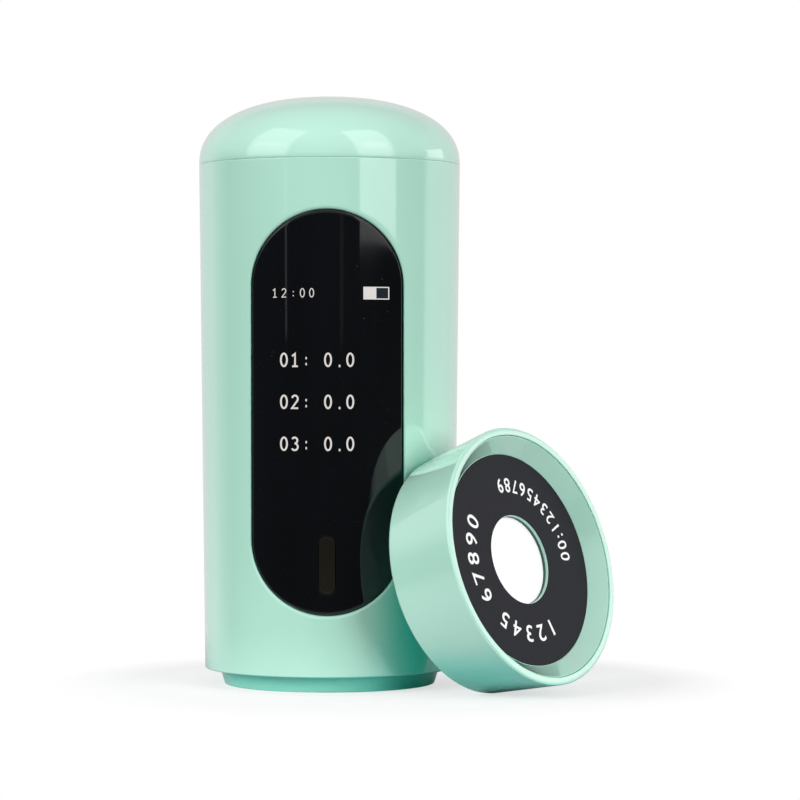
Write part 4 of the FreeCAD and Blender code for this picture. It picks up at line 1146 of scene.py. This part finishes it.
class METER_OT_screen_numbers(Operator):
    """Lit readings, clock and battery sign of the screen, seen through the window"""
    bl_idname = "meter.screen_numbers"
    bl_label = "Screen"

    def execute(self, context):
        case, screen = settings().case, settings().screen
        proud, lit_relief, dark_relief = 0.003 * MM, 0.012 * MM, 0.006 * MM

        def on_lens(x, z):
            return on_case(case, turn_at(case, FRONT, x, z, 0), z, -proud)

        lit, dark = Surface(), Surface()
        size, step, stroke = screen.digit_height, screen.advance, screen.stroke
        rows = screen.rows.split("|")
        rows_x, rows_z = -5.75 * MM, 35.72 * MM
        for number, words in enumerate(rows):
            z = rows_z + (len(rows) // 2 - number) * screen.row_pitch - size / 2
            add_words(lit, on_lens, words, rows_x, z, size, step, stroke)
        small, spread, weight = screen.clock_scale, 1.27, 0.8
        clock_x, clock_z = -6.7 * MM, 49.0 * MM
        add_words(lit, on_lens, screen.clock, clock_x, clock_z - small * size / 2, size * small,
                  step * small * spread, stroke * weight)
        # Battery sign: a lit half, a dark half and a lit line round the dark one
        low, high = Vector((4.45, 48.2)) * MM, Vector((7.6, 49.75)) * MM
        middle = (low.x + high.x) / 2
        line = 0.13 * MM
        add_plate(lit, on_lens, low, (middle, high.y))
        add_plate(dark, on_lens, (middle, low.y), high)
        for corner, other in (((middle, low.y), (high.x, low.y + line)), ((middle, high.y - line), high),
                              ((high.x - line, low.y), high)):
            add_plate(lit, on_lens, corner, other)
        raised("screen_lit", lit, lit_screen(screen), lit_relief)
        raised("screen_dark", dark, unlit_screen(), dark_relief)
        return {"FINISHED"}


# Charging socket

class METER_OT_charging_socket(Operator):
    """Plated shell of the charging socket, with gold contacts on its tongue"""
    bl_idname = "meter.charging_socket"
    bl_label = "Socket"

    def execute(self, context):
        window = settings().window
        surface = Surface()
        mouth, skin = SOCKET_HIGH.y, window.socket_skin
        floor_y = mouth - window.socket_depth
        inward = -1.2 * MM
        across, up = 40, 16

        def level(grow, y):
            outline = slot_loop(socket_slot(), grow, across, up)
            return surface.loop([Vector((x, y, SOCKET_Z + z)) for x, z in outline])

        loops = [level(inward, SOCKET_LOW.y), level(0, SOCKET_LOW.y)]
        for a in (math.pi * i / 8 for i in range(9)):
            loops.append(level(-skin * (1 - math.cos(a)) / 2, mouth - skin * (1 - math.sin(a)) / 2))
        surface.closed(loops + [level(-skin, floor_y), level(inward, floor_y)])
        steel, gold = (bpy.data.materials[FINISH + name] for name in ("socket_steel", "gold_pin"))
        dress(finished("socket", surface.mesh("socket")), steel, "case", "socket_steel", "usb_socket")
        width, length, thickness = 0.28 * MM, 3.2 * MM, 0.04 * MM
        pitch = setback = 0.5 * MM
        mesh = grown(bpy.data.meshes.new("contacts_seed"), contact_group(), Count=window.contacts,
                     Pitch=pitch, Size=(width, length, thickness), Apart=TONGUE_HIGH.z - TONGUE_LOW.z,
                     Finish=gold)
        mesh.transform(Matrix.Translation((0, TONGUE_HIGH.y - length / 2 - setback, SOCKET_Z)))
        dress(plain_object("socket_contacts", mesh), gold, "case", "gold_pin")
        return {"FINISHED"}


# Calibration cap

def label_floor(cap):
    """Height of the dish's floor above the cap's back."""
    return cap.length - cap.dish_depth


def cap_radius(cap, height):
    """Outer radius of the cap at a height above its back."""
    return cap.mouth_radius - cap.taper * (1 - height / cap.length)


def cap_place(cap):
    """Matrix from the cap's own axis, its back at the origin, to where the cap leans."""
    across = Vector((0, 0, 1)).cross(CAP_AXIS).normalized()
    upward = CAP_AXIS.cross(across)
    tile_middle = (TILE_LOW + TILE_HIGH) / 2
    back = tile_middle - CAP_AXIS * (label_floor(cap) - cap.tile_depth - cap.tile / 2)
    turn = Matrix((across, upward, CAP_AXIS)).transposed().to_4x4()
    return Matrix.Translation(back) @ turn


class METER_OT_cap(Operator):
    """Cup of the calibration cap, the conical dish set into it and a dark ring over the tile that is painted
    shadow
    """
    bl_idname = "meter.cap"
    bl_label = "Cap"

    def execute(self, context):
        cap = settings().cap
        place = cap_place(cap)
        floor_height = label_floor(cap)
        tile_front = floor_height - cap.tile_depth
        tile_back = tile_front - cap.tile
        mouth = cap.mouth_radius - cap.wall
        inside = cap_radius(cap, cap.back) - cap.wall
        pad_thickness, post_inset = 1.2 * MM, 0.6 * MM
        post, post_top = cap.tile_radius - post_inset, tile_back - pad_thickness
        cup = rounded([
            (0, 0, 0), (cap_radius(cap, 0), 0, cap.back_edge), (cap.mouth_radius, cap.length, cap.lip_edge),
            (mouth, cap.length, cap.joint_edge), (inside, cap.back, 0),
            (post, cap.back, 0), (post, post_top, 0), (0, post_top, 0)], 8)
        fit, skirt, floor_wall, hole_edge = 0.02 * MM, 1.2 * MM, 1.2 * MM, 0.12 * MM
        hollow = floor_height - floor_wall
        collar, pocket = cap.tile_radius + 1.3 * MM, cap.tile_radius + 0.1 * MM
        dish = rounded([
            (cap.tile_hole, floor_height, hole_edge), (cap.dish_radius, floor_height, 0),
            (mouth - fit, cap.length, cap.joint_edge), (inside - fit, cap.back, 0),
            (inside - fit - skirt, cap.back, 0), (cap_radius(cap, hollow) - cap.wall - skirt, hollow, 0),
            (collar, hollow, 0), (collar, tile_back, 0), (pocket, tile_back, 0), (pocket, tile_front, 0),
            (cap.tile_hole, tile_front, 0)])
        for name, outline, node in (("cap_cup", cup, "cap_shell"), ("cap_dish", dish, "cap_insert")):
            piece = turned_piece(name, outline, cap.columns, mint(), place)
            dress(piece, mint(), "cap", "mint_plastic", node)
        # Painted shadow: a thin dark green ring on the hole's wall just above the tile, in place of the shade in
        # the gap between the tile and the wall
        proud, shadow_ring_outline_edge = 0.015 * MM, 0.02 * MM
        low, high = tile_front + proud, tile_front + cap.shadow_ring
        inner, outer = cap.tile_hole - proud, cap.tile_hole + proud
        shadow_ring_outline = rounded([(inner, low, 0), (outer, low, 0), (outer, high, 0), (inner, high, shadow_ring_outline_edge)], 2)
        shadow_ring_finish = moulded("tile_seal", (0.03, 0.09, 0.07), 0.4, depth=0.1)
        shadow_ring = turned_piece("tile_seal", shadow_ring_outline, cap.columns, shadow_ring_finish, place)
        dress(shadow_ring, shadow_ring_finish, "cap", "mint_plastic")
        return {"FINISHED"}


class METER_OT_cap_label(Operator):
    """Charcoal ring plate in the cap's dish, with plain numbers round it"""
    bl_idname = "meter.cap_label"
    bl_label = "Ring plate"

    def execute(self, context):
        cap = settings().cap
        place = cap_place(cap)
        low = label_floor(cap)
        high = low + cap.label
        fit, edge, proud = 0.06 * MM, 0.04 * MM, 0.012 * MM
        inner, outer = cap.tile_hole + fit, cap.dish_radius - fit
        outline = rounded([(inner, low, 0), (outer, low, 0), (outer, high, edge), (inner, high, edge)], 3)
        charcoal = label_black(settings().finish)
        plate = turned_piece("ring_plate", outline, cap.columns, charcoal, place)
        dress(plate, charcoal, "cap", "label_black", "cap_label")
        ink = moulded("label_ink", (0.88, 0.89, 0.88), 0.5, depth=0.05)
        group = arc_text_group()
        # Name, words, type size, radius, turn at the start, way round and spread of the characters
        arcs = (
            ("numbers_upper", cap.upper_numbers, cap.upper_height, 10.15 * MM, math.radians(-4), 1.0, 1.28),
            ("numbers_lower", cap.lower_numbers, cap.lower_height, 8.3 * MM, math.radians(-65), -1.0, 1.47),
        )
        for name, words, size, radius, start, turn, spread in arcs:
            mesh = grown(bpy.data.meshes.new(name + "_seed"), group, Words=words, Size=size, Radius=radius,
                         Start=start, Turn=turn, Spread=spread, Height=high + proud, Weight=cap.weight,
                         Finish=ink)
            mesh.transform(place)
            dress(plain_object(name, mesh), ink, "cap", "label_black")
        return {"FINISHED"}


class METER_OT_white_tile(Operator):
    """White reference tile behind the ring plate's hole"""
    bl_idname = "meter.white_tile"
    bl_label = "Tile"

    def execute(self, context):
        cap = settings().cap
        front = label_floor(cap) - cap.tile_depth
        back, radius, edge = front - cap.tile, cap.tile_radius, 0.08 * MM
        outline = rounded([(0, back, 0), (radius, back, 0), (radius, front, edge), (0, front, 0)])
        ceramic = moulded("white_ceramic", (0.93, 0.94, 0.94), 0.16, spread=0.02, depth=0.03)
        tile = turned_piece("tile", outline, cap.columns, ceramic, cap_place(cap))
        dress(tile, ceramic, "cap", "white_ceramic", "white_tile")
        return {"FINISHED"}


# Carried-over pieces

class METER_OT_inner_finishes(Operator):
    """Finishes of the carried-over pieces, by the record's material slots"""
    bl_idname = "meter.inner_finishes"
    bl_label = "Inner finishes"

    def execute(self, context):
        made = node_finishes()
        slots = {part["node"]: part["material_slot"] for part in frame["record"]["subparts"]}
        for name, node in frame["nodes"].items():
            if slots[name] in made:
                for slot in node.material_slots:
                    slot.material = made[slots[name]]
        return {"FINISHED"}


# Stage

class METER_OT_stage(Operator):
    """Camera, floor, soft boxes and world"""
    bl_idname = "meter.stage"
    bl_label = "Stage"

    def execute(self, context):
        scene, stage = context.scene, settings().stage
        scene.view_settings.view_transform = "Standard"
        camera = plain_object("camera", bpy.data.cameras.new("camera"))
        camera.data.lens = stage.lens
        camera.data.sensor_width = 36
        camera.data.clip_start = 0.01
        downward = 0.537
        camera.location = (8.915 * MM, -406.124 * MM, 39.603 * MM)
        camera.rotation_euler = (math.radians(90 - downward), 0, 0)
        scene.camera = camera
        floor = self.make_floor(stage)
        plain = self.soft_boxes((
            ("left_box", -56, 0.435, 0.40, 20, (0.37, 0.65), stage.left_lamp),
            ("right_box", 42, 0.435, 0.40, 20, (0.31, 0.65), stage.right_lamp),
        ))
        glints = self.soft_boxes((
            ("left_glint", -56, 0.434, 0.40, 20, (0.37, 0.65), 0.18),
            ("right_glint", 42, 0.434, 0.40, 20, (0.31, 0.65), 0.2),
            ("left_core", -57, 0.40, 0.27, 20, (0.22, 0.07), 0.35),
            ("right_core", 43, 0.40, 0.27, 20, (0.18, 0.09), 0.5),
            ("low_panel", 44, 0.6, 0.084, 0, (0.36, 0.037), 1.0),
            ("side_box", 109, 0.6, 0.17, 14, (0.25, 0.12), 0.9),
            ("thin_strip", -37, 0.6, 0.072, 0, (0.016, 0.07), 0.42),
            ("dim_strip", 11.6, 0.6, 0.072, 0, (0.03, 0.075), 0.11),
        ), diffuse=False)
        glints[-1].data.color = (1, 0.8, 0.6)
        fills = self.soft_boxes((
            ("front_fill", 46, 0.7, 0.19, 13, (0.5, 0.32), stage.fill * 1.06),
            ("left_fill", -57, 0.7, 0.29, 21, (0.5, 0.32), stage.fill * 1.22),
        ), glossy=False)
        self.make_world(scene)
        return {"FINISHED"}

    @staticmethod
    def soft_boxes(rows, diffuse=True, glossy=True):
        """Area lamps that stand round the object and lean over it.

        Each row gives a name, a turn in degrees, the distance, the height, the lean in degrees, the size and
        the radiance.
        """
        boxes = []
        for name, azimuth, distance, height, tilt, size, radiance in rows:
            lamp = bpy.data.lights.new(name, "AREA")
            lamp.shape = "RECTANGLE"
            lamp.size, lamp.size_y = size
            lamp.energy = math.pi * size[0] * size[1] * radiance
            box = plain_object(name, lamp)
            turn, lean = math.radians(azimuth), math.radians(tilt)
            away = Vector((math.sin(turn), -math.cos(turn), 0))
            box.location = away * distance + Vector((0, 0, height))
            facing = away * math.cos(lean) + Vector((0, 0, math.sin(lean)))
            box.rotation_euler = facing.to_track_quat("Z", "Y").to_euler()
            box.visible_camera = False
            box.visible_diffuse = diffuse
            box.visible_glossy = glossy
            boxes.append(box)
        return boxes

    @staticmethod
    def make_floor(stage):
        """Pale floor that fades to white for the camera, and to nothing for rays that light the object."""
        mesh = bpy.data.meshes.new("floor")
        side, front, back = 0.6, -0.16, 0.8
        mesh.from_pydata([(-side, front, 0), (side, front, 0), (side, back, 0), (-side, back, 0)], [],
                         [(0, 1, 2, 3)])
        material, tree, shader = new_finish("floor", tuple(stage.floor), Roughness=0.8,
                                            Specular_IOR_Level=0.2)
        middle = (0.008, 0.0, 0.0)
        off = tree.add("ShaderNodeVectorMath", tree.place(), middle, operation="DISTANCE").outputs["Value"]
        path, seen = tree.rays()
        camera_ray = path.outputs["Is Camera Ray"]
        tint = tree.mix("RGBA", camera_ray, (*stage.bounce, 1), (*stage.floor, 1))
        tree.feed(shader.inputs["Base Color"], tint)
        clear = tree.add("ShaderNodeBsdfTransparent")
        glow = tree.add("ShaderNodeEmission", WHITE, 1.0)
        beyond = tree.add("ShaderNodeMixShader", seen, clear.outputs[0], glow.outputs[0])
        shown_fade = tree.math("MAXIMUM", tree.ranged(off, 0.0, 1.0, 0.016, 0.044), stage.paleness)
        fade = tree.mix("FLOAT", camera_ray, tree.ranged(off, 0.0, 1.0, 0.03, 0.09), shown_fade)
        whole = tree.add("ShaderNodeMixShader", fade, shader.outputs[0], beyond.outputs[0])
        tree.feed(tree.nodes["Material Output"].inputs[0], whole.outputs[0])
        mesh.materials.append(material)
        return plain_object("floor", mesh)

    @staticmethod
    def make_world(scene):
        """White to the camera and through glass; else dark low in front, and pale above and behind."""
        world = bpy.data.worlds.new("world")
        scene.world = world
        world.use_nodes = True
        tree = Tree(world.node_tree)
        right, back, up = tree.parts(tree.add("ShaderNodeTexCoord").outputs["Generated"])
        behind = tree.mix("FLOAT", tree.ranged(right, 0.0, 1.0, -0.05, 0.05),
                          tree.ranged(back, 0.0, 1.0, 0.16, 0.6), tree.ranged(back, 0.0, 1.0, 0.05, 0.12))
        front_light = tree.ranged(up, 0.04, 0.55, 0.06, 0.25)
        back_light = tree.ranged(up, 0.72, 0.58, 0.5, 0.64)
        around = tree.mix("FLOAT", behind, front_light, back_light)
        path, seen = tree.rays()
        mirrored = tree.ranged(path.outputs["Is Glossy Ray"], 0.6, 1.0, 0.0, 1.0)
        strength = tree.mix("FLOAT", seen, tree.math("MULTIPLY", around, mirrored), 1.0)
        background = tree.nodes["Background"]
        background.inputs["Color"].default_value = WHITE
        tree.feed(background.inputs["Strength"], strength)


class METER_PT_sidebar(Panel):
    """The meter's operators and settings"""
    bl_idname = "METER_PT_sidebar"
    bl_label = "Pocket colour meter"
    bl_space_type = "VIEW_3D"
    bl_region_type = "UI"
    bl_category = "Meter"

    def draw(self, context):
        meter = settings()
        for operator in OPERATORS:
            self.layout.operator(operator.bl_idname)
        for name in ("case", "window", "screen", "cap", "finish", "stage"):
            box = self.layout.box()
            box.label(text=name.title())
            group = getattr(meter, name)
            for field in group.bl_rna.properties:
                if field.identifier not in ("rna_type", "name"):
                    box.prop(group, field.identifier)


OPERATORS = (
    METER_OT_inner_finishes, METER_OT_body_shell, METER_OT_top_cover, METER_OT_nose_ring,
    METER_OT_window_lens, METER_OT_screen_numbers, METER_OT_measure_key, METER_OT_charging_socket,
    METER_OT_cap, METER_OT_cap_label, METER_OT_white_tile, METER_OT_stage,
)
GROUPS = (MeterCase, MeterWindow, MeterScreen, MeterCap, MeterFinish, MeterStage, MeterSettings)
CLASSES = GROUPS + OPERATORS + (METER_PT_sidebar,)


def register():
    """Register every class and hang the settings on the scene."""
    for kind in CLASSES:
        bpy.utils.register_class(kind)
    bpy.types.Scene.meter = PointerProperty(type=MeterSettings)


def unregister():
    """Undo register."""
    del bpy.types.Scene.meter
    for kind in reversed(CLASSES):
        bpy.utils.unregister_class(kind)


def main():
    """Build the meter piece by piece."""
    register()
    for operator in OPERATORS:
        group, name = operator.bl_idname.split(".")
        getattr(getattr(bpy.ops, group), name)()


if __name__ == "__main__":
    main()
